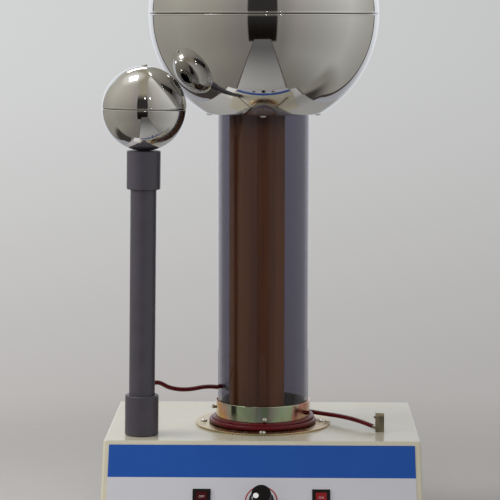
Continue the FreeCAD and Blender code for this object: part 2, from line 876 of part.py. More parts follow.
def make_inlet():
    """A fused mains inlet with a shrouded socket, three blades and a fuse drawer below."""
    rise, wall = size.socket_rise, size.sheet_wall
    body = new_body("mains_inlet")
    flange = new_sketch(body, "XZ_Plane", "inlet_flange")
    half, tall = size.inlet_width / 2, size.inlet_tall / 2
    corner = size.inlet_width * 0.16
    outline(flange, [
        (-half + corner, -tall), (half - corner, -tall), (half, -tall + corner),
        (half, tall - corner), (half - corner, tall), (-half + corner, tall),
        (-half, tall - corner), (-half, -tall + corner),
    ])
    pad(body, flange, size.inlet_flange, backwards=True)
    barrel = new_sketch(body, "XZ_Plane", "inlet_barrel")
    rectangle(barrel, as_size(0), as_size(0), size.inlet_body_width, size.inlet_body_tall)
    pad(body, barrel, size.inlet_body_depth)
    socket = new_sketch(body, "XZ_Plane", "inlet_socket", (0, 0, -size.inlet_flange))
    side, top, chamfer = size.socket_width / 2, size.socket_tall / 2, size.socket_tall / 4
    outline(socket, [
        (-side, rise - top), (side, rise - top), (side, rise + top - chamfer),
        (side - chamfer, rise + top), (-side + chamfer, rise + top), (-side, rise + top - chamfer),
    ])
    pocket(body, socket, size.socket_depth, both_ways=False, backwards=True)
    drawer = new_sketch(body, "XZ_Plane", "fuse_drawer", (0, 0, -size.inlet_flange))
    drawer_tall = size.inlet_tall / 2 - (top - rise) - 5
    rectangle(drawer, as_size(0), -tall + 2 + drawer_tall / 2, size.socket_width, drawer_tall)
    pocket(body, drawer, wall, both_ways=False, backwards=True)
    screws = new_sketch(body, "XZ_Plane", "inlet_screw_holes", (0, 0, -size.inlet_flange))
    for name, sign in LEFT_RIGHT:
        circle(screws, size.inlet_screw_spacing / 2 * sign, 0, size.screw_radius + size.fit_gap)
    pocket(body, screws, size.inlet_flange * 3)
    seats = new_sketch(body, "XZ_Plane", "inlet_screw_seats", (0, 0, -size.inlet_flange))
    for name, sign in LEFT_RIGHT:
        circle(seats, size.inlet_screw_spacing / 2 * sign, 0, size.screw_head_radius + size.fit_gap)
    pocket(body, seats, inlet_sink(), both_ways=False, backwards=True)
    finish(place(body, (size.inlet_x, back_y, size.inlet_height)))
    blades = []
    thick, tall_blade = as_size(2), as_size(4)
    depth = size.inlet_flange - size.socket_depth
    for name, x, lift in (("line", -0.5, -1), ("earth", 0, 2), ("neutral", 0.5, -1)):
        blades.append(block("blade_" + name, (thick, size.blade_reach, tall_blade), (
            size.inlet_x + size.blade_spacing * x - thick / 2, back_y + depth,
            size.inlet_height + rise + lift - tall_blade / 2)))
    finish(group("inlet_blades", blades))


# --- Column and dome ------------------------------------------------------------------------------

# Each clamping screw's angle round the collar, and how far below the others it sits.
COLLAR_SCREWS = (("front", -87.8, size.front_screw_drop), ("left", 180, 0), ("rear", 45, 0))


def around(radius, angle, z):
    """A point round the column's axis."""
    return (radius * cosine(angle), column_y + radius * sine(angle), z)


def make_column_base():
    """The plated foot of the column: a collar welded to a round flange on the lid."""
    blank = new_body("column_base_blank")
    profile = new_sketch(blank, "XZ_Plane", "column_base_outline")
    flange_radius = size.flange_diameter / 2
    edge = 0.4
    outline(profile, [
        (tube_bore, 0), (flange_radius, 0), (flange_radius, size.flange_thickness - edge),
        (flange_radius - edge, size.flange_thickness), (collar_radius, size.flange_thickness),
        (collar_radius, size.collar_height - edge), (collar_radius - edge, size.collar_height),
        (collar_bore, size.collar_height), (collar_bore, size.flange_thickness),
        (tube_bore, size.flange_thickness),
    ])
    revolve(blank, profile)
    hole = new_sketch(blank, "XY_Plane", "column_base_hole")
    circle(hole, size.flange_screw_circle / 2, 0, size.screw_radius + size.fit_gap)
    drilled = pocket(blank, hole, size.flange_thickness * 3)
    polar(blank, drilled, 4)
    place(blank, (0, column_y, lid_z))
    drills = []
    collar_screws = []
    for name, angle, drop in COLLAR_SCREWS:
        z = lid_z + size.collar_screw_height - drop
        drill = rod("collar_drill_" + name, size.collar_screw_radius, size.collar_wall * 3,
                    around(tube_radius - size.collar_gap, angle, z))
        drill.Placement.Rotation = Rotation(Vector(0, 0, 1), angle) * Rotation(Vector(0, 1, 0), 90)
        drills.append(drill)
        reach = size.collar_wall + size.collar_gap
        clamp = screw("collar_screw_" + name, around(collar_radius, angle, z), reach,
                      standoff=size.collar_screw_standoff, radius=size.collar_screw_radius,
                      head_radius=size.collar_head_radius)
        clamp.Placement.Rotation = Rotation(Vector(0, 0, 1), angle) * Rotation(Vector(0, 1, 0), 90)
        collar_screws.append(clamp)
    finish(cut("column_base", blank, drills))
    finish(group("collar_screws", collar_screws))
    flange_screws = []
    for name, angle in (("right", 0), ("rear", 90), ("left", 180), ("front", 270)):
        flange_screws.append(screw("flange_screw_" + name, around(
            size.flange_screw_circle / 2, angle, tube_base),
            size.flange_thickness + size.sheet_wall * 3))
    finish(group("flange_screws", flange_screws))


def make_column():
    """The clear tube, which stands on the flange inside the collar."""
    length = mount_top - tube_base
    edge = 0.3
    finish(turned("column_tube", [
        (tube_bore, 0), (tube_radius, 0), (tube_radius, length - edge),
        (tube_radius - edge, length), (tube_bore + edge, length), (tube_bore, length - edge),
    ], (0, column_y, tube_base)))


def make_dome_mount():
    """A turned ring clamped on the tube's top, with the dome's four screws in its flange."""
    flange_radius = dome_flat_radius - size.dome_wall
    body = turned("dome_mount", [
        (mount_hub_bore, 0), (flange_radius, 0), (flange_radius, size.mount_flange),
        (mount_hub_radius, size.mount_flange), (mount_hub_radius, size.mount_hub_height),
        (mount_hub_bore, size.mount_hub_height),
    ], (0, column_y, mount_base))
    hole = new_sketch(body, "XY_Plane", "dome_mount_hole")
    circle(hole, dome_screw_reach, 0, size.screw_radius)
    drilled = pocket(body, hole, size.mount_flange * 3)
    polar(body, drilled, 4)
    finish(body)
    screws = []
    for name, angle in (("right", 0), ("rear", 90), ("left", 180), ("front", 270)):
        screws.append(screw("dome_screw_" + name, around(
            dome_screw_reach, angle, dome_floor), size.mount_flange, angle=180))
    finish(group("dome_screws", screws))


def bead_meeting(radius, bead, reach, height):
    """Where a circle about the dome's centre meets a bead whose centre is at (reach, height)."""
    apart = root(reach * reach + height * height)
    along = (radius * radius - bead * bead + apart * apart) / (apart * 2)
    across = height_at(radius, along)
    return ((along * reach - across * height) / apart, (along * height + across * reach) / apart)


def make_bowls():
    """Two spun bowls. Each ends at the seam in a bead rolled in to a flat lip, and the lower
    one has a flat floor with a hole that the column passes through."""
    wall, bend = size.dome_wall, size.seam_bend
    lip_face = size.seam_gap / 2
    bend_height = lip_face + bend
    bend_reach = height_at(dome_radius, bend_height) + size.seam_bead - bend
    inner_radius = dome_radius - wall
    outer_side, outer_height = bead_meeting(dome_radius, bend, bend_reach, bend_height)
    inner_side, inner_height = bead_meeting(inner_radius, bend - wall, bend_reach, bend_height)
    lip_edge = dome_radius - size.seam_lip
    floor_drop = height_at(dome_radius, dome_flat_radius)
    floor_inside = floor_drop - wall
    floor_reach = height_at(inner_radius, floor_inside)
    hole = tube_radius + size.collar_gap
    lower = turned("dome_lower_bowl", [
        (hole, -floor_drop), (dome_flat_radius, -floor_drop, dome_radius),
        (outer_side, -outer_height, bend), (bend_reach, -lip_face),
        (lip_edge, -lip_face), (lip_edge, -lip_face - wall),
        (bend_reach, -lip_face - wall, -(bend - wall)),
        (inner_side, -inner_height, -inner_radius),
        (floor_reach, -floor_inside), (hole, -floor_inside),
    ], (0, column_y, seam_z))
    screw_hole = new_sketch(lower, "XY_Plane", "bowl_screw_hole", (0, 0, -floor_drop))
    circle(screw_hole, dome_screw_reach, 0, size.screw_radius + size.fit_gap)
    drilled = pocket(lower, screw_hole, wall * 4)
    polar(lower, drilled, 4)
    finish(lower)
    finish(turned("dome_upper_bowl", [
        (0, inner_radius), (0, dome_radius, -dome_radius),
        (outer_side, outer_height, -bend), (bend_reach, lip_face),
        (lip_edge, lip_face), (lip_edge, lip_face + wall),
        (bend_reach, lip_face + wall, bend - wall),
        (inner_side, inner_height, inner_radius),
    ], (0, column_y, seam_z)))
    spigot = lip_edge - size.seam_clearance
    inside = spigot - size.rim_ring_wall
    half_ring = size.rim_ring_height / 2
    washer = lip_face - size.seam_clearance
    finish(turned("dome_rim_ring", [
        (inside, -half_ring), (spigot, -half_ring), (spigot, -lip_face),
        (bend_reach, -lip_face), (bend_reach, washer), (spigot, washer),
        (spigot, half_ring), (inside, half_ring),
    ], (0, column_y, seam_z)))


# --- Belt drive --------------------------------------------------------------------------------------

def roller_corners(radius, bore, recess_radius, recess_depth):
    """A crowned roller along X, with a recess for a bearing in each end."""
    half = size.roller_length / 2
    crown = size.roller_crown
    sag_radius = (half * half + crown * crown) / (crown * 2)
    shoulder = half - recess_depth
    return [
        (half, recess_radius), (half, radius - crown, sag_radius), (0, radius, sag_radius),
        (-half, radius - crown), (-half, recess_radius), (-shoulder, recess_radius),
        (-shoulder, bore), (shoulder, bore), (shoulder, recess_radius),
    ]


def make_rollers():
    """The driven lower roller on its shaft, and the free upper roller on two bearings."""
    lower_at = (0, column_y, lower_axle_z)
    hub = size.drive_shaft_radius * 2
    finish(turned_about_x("lower_roller", roller_corners(
        size.lower_roller_radius, size.drive_shaft_radius, hub, size.bearing_width), lower_at))
    upper_at = (0, column_y, upper_axle_z)
    axle_bore = size.upper_axle_radius + 2
    finish(turned_about_x("upper_roller", roller_corners(
        size.upper_roller_radius, axle_bore, size.bearing_radius, size.bearing_width), upper_at))
    bearings = []
    half = size.roller_length / 2
    bore = size.upper_axle_radius + size.running_gap
    for side, sign in LEFT_RIGHT:
        inner_end = half - size.bearing_width
        bearings.append(turned_about_x("upper_bearing_" + side, [
            (inner_end, bore), (half, bore), (half, bore + 2), (half - 0.5, bore + 2),
            (half - 0.5, size.bearing_radius - 2), (half, size.bearing_radius - 2),
            (half, size.bearing_radius), (inner_end, size.bearing_radius),
        ], (0, 0, 0)))
        bearings[-1].Placement = Placement(Vector(), Rotation(Vector(0, 0, 1), 90 - 90 * sign))
    finish(place(group("upper_bearings", bearings), upper_at))


def make_belt():
    """The endless rubber belt: two straight runs tangent to both rollers."""
    body = new_body("charge_belt")
    distance = upper_axle_z - lower_axle_z
    loops = []
    for extra in (size.belt_clearance + size.belt_thickness, size.belt_clearance):
        low = size.lower_roller_radius + extra
        high = size.upper_roller_radius + extra
        rise = (low - high) / distance
        side = root(1 - rise * rise)
        loops.append([
            (0, -low, low), (low * side, low * rise), (high * side, distance + high * rise, high),
            (0, distance + high, high), (-high * side, distance + high * rise),
            (-low * side, low * rise, low),
        ])
    sketch = new_sketch(body, "YZ_Plane", "belt_outline")
    for loop in loops:
        outline(sketch, loop)
    pad(body, sketch, size.belt_width, both_ways=True)
    finish(place(body, (size.belt_shift, column_y, lower_axle_z)))


def make_drive_frame():
    """The folded frame on the tray that carries the lower roller in two flanged bushes."""
    wall = size.frame_wall
    blank = new_body("drive_frame")
    base = -(size.lower_axle_height)
    top = size.bush_flange_radius + 4
    profile = new_sketch(blank, "XZ_Plane", "frame_outline")
    outer = frame_half + wall
    outline(profile, [
        (-outer, base), (outer, base), (outer, top), (frame_half, top),
        (frame_half, base + wall), (-frame_half, base + wall), (-frame_half, top), (-outer, top),
    ])
    pad(blank, profile, size.frame_length, both_ways=True)
    seats = new_sketch(blank, "YZ_Plane", "frame_seats")
    circle(seats, 0, 0, size.bush_radius)
    pocket(blank, seats, outer * 2 + wall)
    finish(place(blank, (0, column_y, lower_axle_z)))
    for side, sign in LEFT_RIGHT:
        bore = size.drive_shaft_radius + size.running_gap
        bush = turned_about_x("drive_bush_" + side, [
            (frame_half - 2, bore), (outer + 2, bore), (outer + 2, size.bush_radius),
            (frame_half, size.bush_radius), (frame_half, size.bush_flange_radius),
            (frame_half - 2, size.bush_flange_radius),
        ])
        place(bush, (0, column_y, lower_axle_z), (0, 0, 1), 90 - 90 * sign)
        finish(bush)


def make_motor():
    """The motor on its cradle, its shaft, and the coupling to the roller's shaft."""
    axis_at = (0, column_y, lower_axle_z)
    start = frame_half + size.frame_wall + 6
    finish(turned_about_x("drive_shaft", [
        (-frame_half - size.frame_wall - 4, 0),
        (-frame_half - size.frame_wall - 4, size.drive_shaft_radius),
        (start + size.coupling_length / 2 - 1, size.drive_shaft_radius),
        (start + size.coupling_length / 2 - 1, 0),
    ], axis_at))
    middle = start + size.coupling_length / 2
    finish(turned_about_x("shaft_coupling", [
        (start, size.drive_shaft_radius), (start, size.coupling_radius),
        (middle - 2, size.coupling_radius), (middle - 2, size.coupling_radius - 2),
        (middle + 2, size.coupling_radius - 2), (middle + 2, size.coupling_radius),
        (start + size.coupling_length, size.coupling_radius),
        (start + size.coupling_length, size.motor_shaft_radius),
        (middle, size.motor_shaft_radius), (middle, size.drive_shaft_radius),
    ], axis_at))
    case_start = start + size.coupling_length + 5
    case_end = case_start + size.motor_length
    finish(turned_about_x("motor_shaft", [
        (middle, 0), (middle, size.motor_shaft_radius),
        (case_end + 3, size.motor_shaft_radius), (case_end + 3, 0),
    ], axis_at))
    boss = size.motor_shaft_radius + 6
    bell = size.motor_radius * 0.8
    bore = size.motor_shaft_radius + size.running_gap
    motor = turned_about_x("motor_case", [
        (case_start, bore), (case_start, boss), (case_start + 3, boss), (case_start + 5, bell),
        (case_start + size.motor_bell_length, size.motor_radius - 2),
        (case_start + size.motor_band_inset, size.motor_radius - 2),
        (case_start + size.motor_band_inset, size.motor_radius),
        (case_end - size.motor_band_inset, size.motor_radius),
        (case_end - size.motor_band_inset, size.motor_radius - 2),
        (case_end - size.motor_bell_length, size.motor_radius - 2),
        (case_end - 5, bell), (case_end - 3, boss), (case_end, boss), (case_end, bore),
    ], axis_at)
    vent = new_sketch(motor, "YZ_Plane", "motor_vent", (0, 0, case_start))
    rectangle(vent, size.motor_radius * 0.62, as_size(0), size.motor_radius * 0.3, as_size(5))
    slot = pocket(motor, vent, as_size(14), both_ways=False, backwards=True)
    polar(motor, slot, 8, "X_Axis")
    finish(motor)
    cradle_length = size.motor_length - size.cradle_inset * 2
    cradle = block("motor_cradle_blank", (cradle_length, size.motor_radius * 1.4,
                   size.lower_axle_height - size.motor_radius * 0.6),
                   (case_start + size.cradle_inset, column_y - size.motor_radius * 0.7, tray_top))
    seat = rod("motor_cradle_seat", size.motor_radius, size.motor_length,
               (case_start, column_y, lower_axle_z), (0, 1, 0), 90)
    finish(cut("motor_cradle", cradle, [seat]))


def make_comb(label, at, turn):
    """A brass comb: a strip with a row of sharp teeth that face the belt."""
    body = new_body(label)
    strip = new_sketch(body, "XZ_Plane", label + "_strip")
    half, pitch = size.belt_width / 2, size.comb_tooth_pitch
    rectangle(strip, as_size(0), -size.comb_depth / 2, half * 2, size.comb_depth)
    pad(body, strip, size.comb_thickness, both_ways=True)
    tooth = new_sketch(body, "XZ_Plane", label + "_tooth")
    outline(tooth, [
        (-half, -size.comb_thickness), (-half + pitch / 2, -size.comb_thickness),
        (-half + pitch / 4, size.comb_tooth_reach),
    ])
    point = pad(body, tooth, size.comb_thickness, both_ways=True)
    row(body, point, tooth, pitch, whole_number(size.belt_width / pitch))
    finish(place(body, at, (1, 0, 0), turn))


def make_collectors():
    """The combs that spray and collect charge, each on its own bracket."""
    wall = size.bracket_wall
    reach = size.belt_clearance + size.belt_thickness + size.comb_gap + size.comb_tooth_reach
    under_comb = size.comb_thickness / 2 + wall
    x = size.belt_shift
    lower_y = column_y - size.lower_roller_radius - reach
    make_comb("lower_comb", (x, lower_y, lower_axle_z), -90)
    upper_y = column_y + size.upper_roller_radius + reach
    make_comb("upper_comb", (x, upper_y, upper_axle_z), 90)
    width, depth = size.belt_width / 2, size.comb_depth
    ledge_z = lower_axle_z - under_comb
    at = (x - width / 2, lower_y - depth, tray_top)
    post = block("lower_comb_post", (width, wall, ledge_z - tray_top + wall), at)
    ledge = block("lower_comb_ledge", (width, depth, wall), (at[0], at[1], ledge_z))
    finish(joined("lower_comb_bracket", [post, ledge]))
    width = size.upper_bracket_width
    base = mount_base + size.mount_flange
    arm_y = column_y + mount_hub_radius + size.fit_gap
    ledge_z = upper_axle_z - under_comb
    arm = block("upper_comb_post", (width, wall, ledge_z - base + wall),
                (x - width / 2, arm_y, base))
    arm_top = block("upper_comb_ledge", (width, arm_y - upper_y + wall, wall),
                    (x - width / 2, upper_y, ledge_z))
    finish(joined("upper_comb_bracket", [arm, arm_top]))


def make_yoke():
    """The two uprights inside the dome that carry the upper axle, and the axle."""
    inside = mount_hub_radius + size.fit_gap
    outside = inside + size.yoke_wall
    foot_reach = dome_flat_radius - size.dome_wall
    top = upper_axle_z - mount_base - size.mount_flange + 10
    slot_z = upper_axle_z - mount_base - size.mount_flange
    for side, sign in LEFT_RIGHT:
        label = "yoke_" + side
        body = new_body(label)
        profile = new_sketch(body, "XZ_Plane", label + "_outline")
        outline(profile, [
            (inside, 0), (foot_reach, 0), (foot_reach, size.yoke_wall), (outside, size.yoke_wall),
            (outside, top), (inside, top),
        ])
        pad(body, profile, size.yoke_width, both_ways=True)
        slot = new_sketch(body, "YZ_Plane", label + "_slot")
        radius = size.upper_axle_radius
        outline(slot, [
            (-radius, slot_z, radius), (0, slot_z - radius, radius), (radius, slot_z),
            (radius, top + 1), (-radius, top + 1),
        ])
        pocket(body, slot, outside * 3)
        place(body, (0, column_y, mount_base + size.mount_flange), (0, 0, 1), 90 - 90 * sign)
        finish(body)
    reach = outside + 3
    finish(turned_about_x("upper_axle", [
        (-reach, 0), (-reach, size.upper_axle_radius), (reach, size.upper_axle_radius), (reach, 0),
    ], (0, column_y, upper_axle_z)))


def make_speed_board():
    """The speed controller: a board on four pillars with its heat sink and large parts."""
    x = size.tray_wall + size.board_margin - tray_bounds()[0]
    y = column_y - size.board_width / 2
    z = tray_top + size.standoff_height
    top = z + size.board_thickness
    pieces = [block("board", (size.board_length, size.board_width, size.board_thickness), (x, y, z))]
    for along in (0.06, 0.94):
        for across in (0.08, 0.92):
            at = (x + size.board_length * along, y + size.board_width * across, tray_top)
            pieces.append(rod(f"pillar_{along}_{across}", 3, size.standoff_height, at))
    near_column = x + size.board_length * 0.13
    far_column = x + size.board_length * 0.72
    sink_front = y + size.board_width * 0.74
    pieces.append(block("heat_sink_base", (
        size.heat_sink_length, size.heat_sink_base, size.heat_sink_height),
        (near_column, sink_front, top)))
    pitch = (size.heat_sink_length - size.fin_thickness) / (size.fin_count - 1)
    for fin in range(int(size.fin_count.value)):
        pieces.append(block(f"heat_sink_fin_{fin}", (
            size.fin_thickness, size.heat_sink_fin, size.heat_sink_height),
            (near_column + pitch * fin, sink_front + size.heat_sink_base, top)))
    pieces.append(rod("smoothing_capacitor", size.capacitor_radius, size.capacitor_height,
                      (far_column, y + size.board_width * 0.29, top)))
    pieces.append(block("terminal_block", (
        size.terminal_length, size.terminal_width, size.terminal_height),
        (near_column, y + size.board_width * 0.065, top)))
    pieces.append(block("choke", (size.choke_width, size.choke_width, size.choke_height),
                        (far_column - size.choke_width / 2, y + size.board_width * 0.58, top)))
    finish(joined("speed_board", pieces))


# --- Discharge wand ------------------------------------------------------------------------------------

def coupling_corners(height, ledge_from, ledge_height):
    """A plain plastic pipe coupling with a ledge inside and eased rims."""
    outer, edge = size.coupling_outer, 0.8
    bore = pipe_radius + size.glue_gap
    ledge_bore = pipe_radius - size.pipe_wall
    return [
        (bore, 0), (outer - edge, 0), (outer, edge), (outer, height - edge),
        (outer - edge, height), (bore, height), (bore, ledge_from + ledge_height),
        (ledge_bore, ledge_from + ledge_height), (ledge_bore, ledge_from), (bore, ledge_from),
    ]


def make_wand():
    """The wand: foot coupling, pipe, top coupling with its plug, and a ball on a long stud."""
    ledge = as_size(3)
    foot_ledge = (size.wand_foot_height - ledge) / 2
    foot = turned("wand_foot", coupling_corners(size.wand_foot_height, foot_ledge, ledge))
    finish(stand_on_wand(foot))
    pipe_base = foot_ledge + ledge
    socket_ledge = (size.wand_socket_height - ledge) / 2
    pipe_top = size.wand_socket_base + socket_ledge
    pipe_bore = pipe_radius - size.pipe_wall
    pipe = turned("wand_pipe_blank", [
        (pipe_bore, 0), (pipe_radius, 0), (pipe_radius, pipe_top - pipe_base),
        (pipe_bore, pipe_top - pipe_base),
    ], (0, 0, pipe_base))
    hole_radius = size.lead_diameter / 2 + 1.2
    drill = rod("lead_exit_drill", hole_radius, pipe_radius + 2, (0, 0, size.lead_exit_height))
    towards_rear = Rotation(Vector(0, 0, 1), size.lead_exit_turn.value)
    drill.Placement.Rotation = towards_rear * Rotation(Vector(0, 1, 0), 90)
    finish(stand_on_wand(cut("wand_pipe", pipe, [drill])))
    flange_at = pipe_radius + 0.4
    grommet = turned("grommet_blank", [
        (0, pipe_bore - 1), (hole_radius - 0.1, pipe_bore - 1), (hole_radius - 0.1, flange_at),
        (hole_radius + 1.4, flange_at), (hole_radius + 0.8, flange_at + 1.4), (0, flange_at + 1.4),
    ], (0, 0, size.lead_exit_height))
    grommet.Placement.Rotation = towards_rear * Rotation(Vector(0, 1, 0), 90)
    finish(stand_on_wand(group("wand_grommet", [grommet])))
    socket = turned("wand_socket", coupling_corners(size.wand_socket_height, socket_ledge, ledge))
    finish(stand_on_wand(socket, size.wand_socket_base))
    plug_base = socket_ledge + ledge
    plug_top = size.wand_socket_height
    plug = turned("wand_plug", [
        (size.stud_radius, plug_base), (pipe_radius, plug_base), (pipe_radius, plug_top),
        (size.stud_radius, plug_top),
    ])
    finish(stand_on_wand(plug, size.wand_socket_base))
    ball_centre = size.wand_socket_base + plug_top + height_at(size.ball_radius, size.ball_flat_radius)
    make_ball(ball_centre)
    stud_top = size.ball_radius + 1.4
    stud_base = -(ball_centre - size.wand_socket_base - plug_base)
    stud = turned("wand_stud", [
        (0, stud_base), (size.stud_radius, stud_base), (size.stud_radius, size.ball_radius - 0.3),
        (size.stud_radius + 0.4, stud_top - 1), (size.stud_radius - 1, stud_top), (0, stud_top),
    ])
    finish(stand_on_wand(stud, ball_centre))


def make_ball(centre_height):
    """Two spun half-balls; the lower one has a stepped tongue inside the upper one."""
    radius, wall = size.ball_radius, size.ball_wall
    inner = radius - wall
    hole = size.stud_radius + size.fit_gap
    seam = 0.25
    flat = height_at(radius, size.ball_flat_radius)
    flat_inside = height_at(inner, size.ball_flat_radius)
    tongue = inner - 0.1
    tongue_inner = tongue - wall * 0.8
    seam_side = height_at(radius, seam)
    lower = turned("ball_lower_half", [
        (hole, -flat), (size.ball_flat_radius, -flat, radius), (seam_side, -seam),
        (height_at(tongue, seam), -seam), (height_at(tongue, 3), 3),
        (height_at(tongue_inner, 3), 3), (tongue_inner, -4, -tongue_inner),
        (size.ball_flat_radius, -height_at(tongue_inner, size.ball_flat_radius)),
        (hole, -height_at(tongue_inner, size.ball_flat_radius)),
    ])
    finish(stand_on_wand(lower, centre_height))
    top_hole = height_at(radius, hole)
    upper = turned("ball_upper_half", [
        (hole, top_hole, -radius), (seam_side, seam), (height_at(inner, seam), seam, inner),
        (hole, height_at(inner, hole)),
    ])
    finish(stand_on_wand(upper, centre_height))


# --- Earth clip and lead ----------------------------------------------------------------------------------

def clip_screw_y():
    return column_y + size.clip_front + size.clip_depth + clip_foot() / 2


def clip_foot():
    """The length of the clip's foot, with room for the screw's head."""
    return (size.screw_head_radius + size.fit_gap * 2) * 2


def make_earth_clip():
    """The clip on the lid that the lead ends in: a strap folded over a barrel, and its screw."""
    wall, tall = size.clip_wall, size.clip_height
    foot = clip_foot()
    bend = size.clip_depth / 2
    inner = bend - wall
    centre = tall - bend
    body = new_body("earth_clip")
    side = new_sketch(body, "YZ_Plane", "clip_side")
    outline(side, [
        (-bend, 0), (bend + foot, 0), (bend + foot, wall), (bend, wall),
        (bend, centre, bend), (0, tall, bend), (-bend, centre),
    ])
    pad(body, side, size.clip_width, both_ways=True)
    inside = new_sketch(body, "YZ_Plane", "clip_inside")
    outline(inside, [
        (-inner, wall), (inner, wall), (inner, centre, inner), (0, centre + inner, inner),
        (-inner, centre),
    ])
    pocket(body, inside, size.clip_width * 2)
    hole = new_sketch(body, "XY_Plane", "clip_hole")
    circle(hole, 0, bend + foot / 2, size.screw_radius + size.fit_gap)
    pocket(body, hole, wall * 4)
    middle_y = column_y + size.clip_front + bend
    finish(place(body, (size.clip_x, middle_y, lid_z)))
    end = size.clip_width / 2
    barrel = turned_about_x("clip_barrel", [
        (-end - size.clip_stem_reach, 0), (-end - size.clip_stem_reach, size.clip_stem_radius),
        (-end, size.clip_stem_radius), (-end, inner - size.fit_gap), (end, inner - size.fit_gap),
        (end, 0),
    ], (size.clip_x, middle_y, lid_z + centre))
    fixing = screw("clip_fixing", (size.clip_x, clip_screw_y(), lid_z + wall),
                   wall + size.sheet_wall * 3)
    finish(group("clip_fixings", [barrel, fixing]))


def rounded_path(points):
    """Straight runs joined by arcs as large as the two runs beside each of them allow."""
    edges = []
    start = points[0]
    radii = []
    for before, corner, after in zip(points, points[1:], points[2:]):
        arriving = (corner - before).normalize()
        leaving = (after - corner).normalize()
        turn = arriving.getAngle(leaving)
        cut_back = 0.45 * min((corner - before).Length, (after - corner).Length)
        radii.append(cut_back / math.tan(turn / 2))
        first = corner - arriving * cut_back
        last = corner + leaving * cut_back
        towards = (leaving - arriving).normalize()
        centre = corner + towards * (radii[-1] / math.cos(turn / 2))
        middle = centre - towards * radii[-1]
        edges.append(Part.LineSegment(start, first).toShape())
        edges.append(Part.Arc(first, middle, last).toShape())
        start = last
    edges.append(Part.LineSegment(start, points[-1]).toShape())
    return Part.Wire(edges), radii


def make_lead_run(label, points):
    """One uncoiled stretch of the lead, as a round tube along its route."""
    lift = Vector(0, column_y.value, lid_z.value)
    route = [Vector(*point) + lift for point in points]
    path, radii = rounded_path(route)
    radius = size.lead_diameter.value / 2
    section = Part.Wire([Part.makeCircle(radius, route[0], route[1] - route[0])])
    shape = path.makePipeShell([section], True, True)
    expected = math.pi * radius ** 2 * path.Length
    print(label, "length", round(path.Length, 1), "volume share", round(shape.Volume / expected, 4),
          "radii", [round(amount, 1) for amount in radii])
    item = doc.addObject("Part::Feature", label)
    item.Shape = shape
    finish(item)


# The coil's two turns lie partly on each other: this many leads wide and this many high.
COIL_SPREAD = 1.75
COIL_RISE = 1.5

# Routes from the column's axis at the lid's surface.
WAND_RUN = [
    (-121.41, -55.82, 54.67), (-115.63, -48.93, 54.6), (-110.4, -42.0, 51.0),
    (-104.0, -33.4, 45.6), (-92.0, -19.5, 40.8),
    (-79.5, -3.0, 38.6), (-66.8, 15.5, 38.2), (-53.5, 33.5, 35.0), (-37.0, 46.5, 29.0),
    (-18.0, 54.9, 20.0), (0.0, 57.8, 12.6), (14.0, 56.4, 8.0),
]
CLIP_RUN = [
    (40.5, 40.9, 7.4), (52.0, 31.2, 7.3), (63.9, 20.8, 7.2), (75.3, 12.0, 7.4), (86.4, 0.8, 7.8),
    (97.2, -12.6, 8.0), (105.6, -24.6, 7.8), (112.4, -33.2, 7.1), (122.2, -43.8, 5.15),
]


def make_lead():
    """The red lead: out of the wand, twice round the collar's foot, and on to the clip."""
    make_lead_run("lead_wand_run", WAND_RUN)
    inner = collar_radius + size.coil_gap
    outer = inner + size.lead_diameter * COIL_SPREAD
    low = size.flange_thickness + size.fit_gap
    high = low + size.lead_diameter * COIL_RISE
    ease = size.lead_diameter / 2
    finish(turned("lead_coil", [
        (inner, low + ease, ease), (inner + ease, low), (outer - ease, low, ease),
        (outer, low + ease), (outer, high - ease, ease), (outer - ease, high),
        (inner + ease, high, ease), (inner, high - ease),
    ], (0, column_y, lid_z)))
    make_lead_run("lead_clip_run", CLIP_RUN)
    start = Vector(*CLIP_RUN[-1])
    heading = start - Vector(*CLIP_RUN[-2])
    ferrule = rod("lead_ferrule", size.ferrule_radius, size.ferrule_length,
                  (start.x, column_y + start.y, lid_z + start.z))
    ferrule.Placement.Rotation = Rotation(Vector(0, 0, 1), heading)
    finish(ferrule)


# --- Build ----------------------------------------------------------------------------------------------

make_cover()
make_tray()
make_case_screws(make_feet())
make_fascia()
for side_name, switch_x in switch_centres():
    make_switch(side_name, switch_x)
make_speed_control()
make_inlet()
make_column_base()
make_column()
make_dome_mount()
make_bowls()
make_rollers()
make_belt()
make_drive_frame()
make_motor()
make_collectors()
make_yoke()
make_speed_board()
make_wand()
make_earth_clip()
make_lead()

doc.recompute()

for item in doc.Objects:
    if "Invalid" in item.State or "Error" in item.State:
        raise RuntimeError(f"{item.Label} failed: {item.State}")
for item in nodes:
    if item.Shape.isNull() or not item.Shape.isValid():
        raise RuntimeError(f"{item.Label} has no valid shape")

os.makedirs("parts", exist_ok=True)
for item in nodes:
    item.Shape.exportStep(f"parts/{item.Label}.step")
print(len(nodes), "sub-parts written")
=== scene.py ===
# %% [markdown]
# # Dressing a belt-driven electrostatic generator
# The machine is a sheet-steel cabinet with a smoked column on its lid, a rubber belt that runs up
# the column, a polished hollow dome at the top, and a discharge wand that stands beside it. The
# solids come from CAD, already in place. This lesson gives them their finishes and makes the
# polished, thin and flexible pieces again in finer mesh. Everything is in metres, X to the right,
# Y to the rear and Z up, and each finished piece keeps its place in its own mesh.

# %% Load the solids
import math

import bmesh
import bpy
import numpy as np
from mathutils import Matrix, Vector
from mathutils.bvhtree import BVHTree


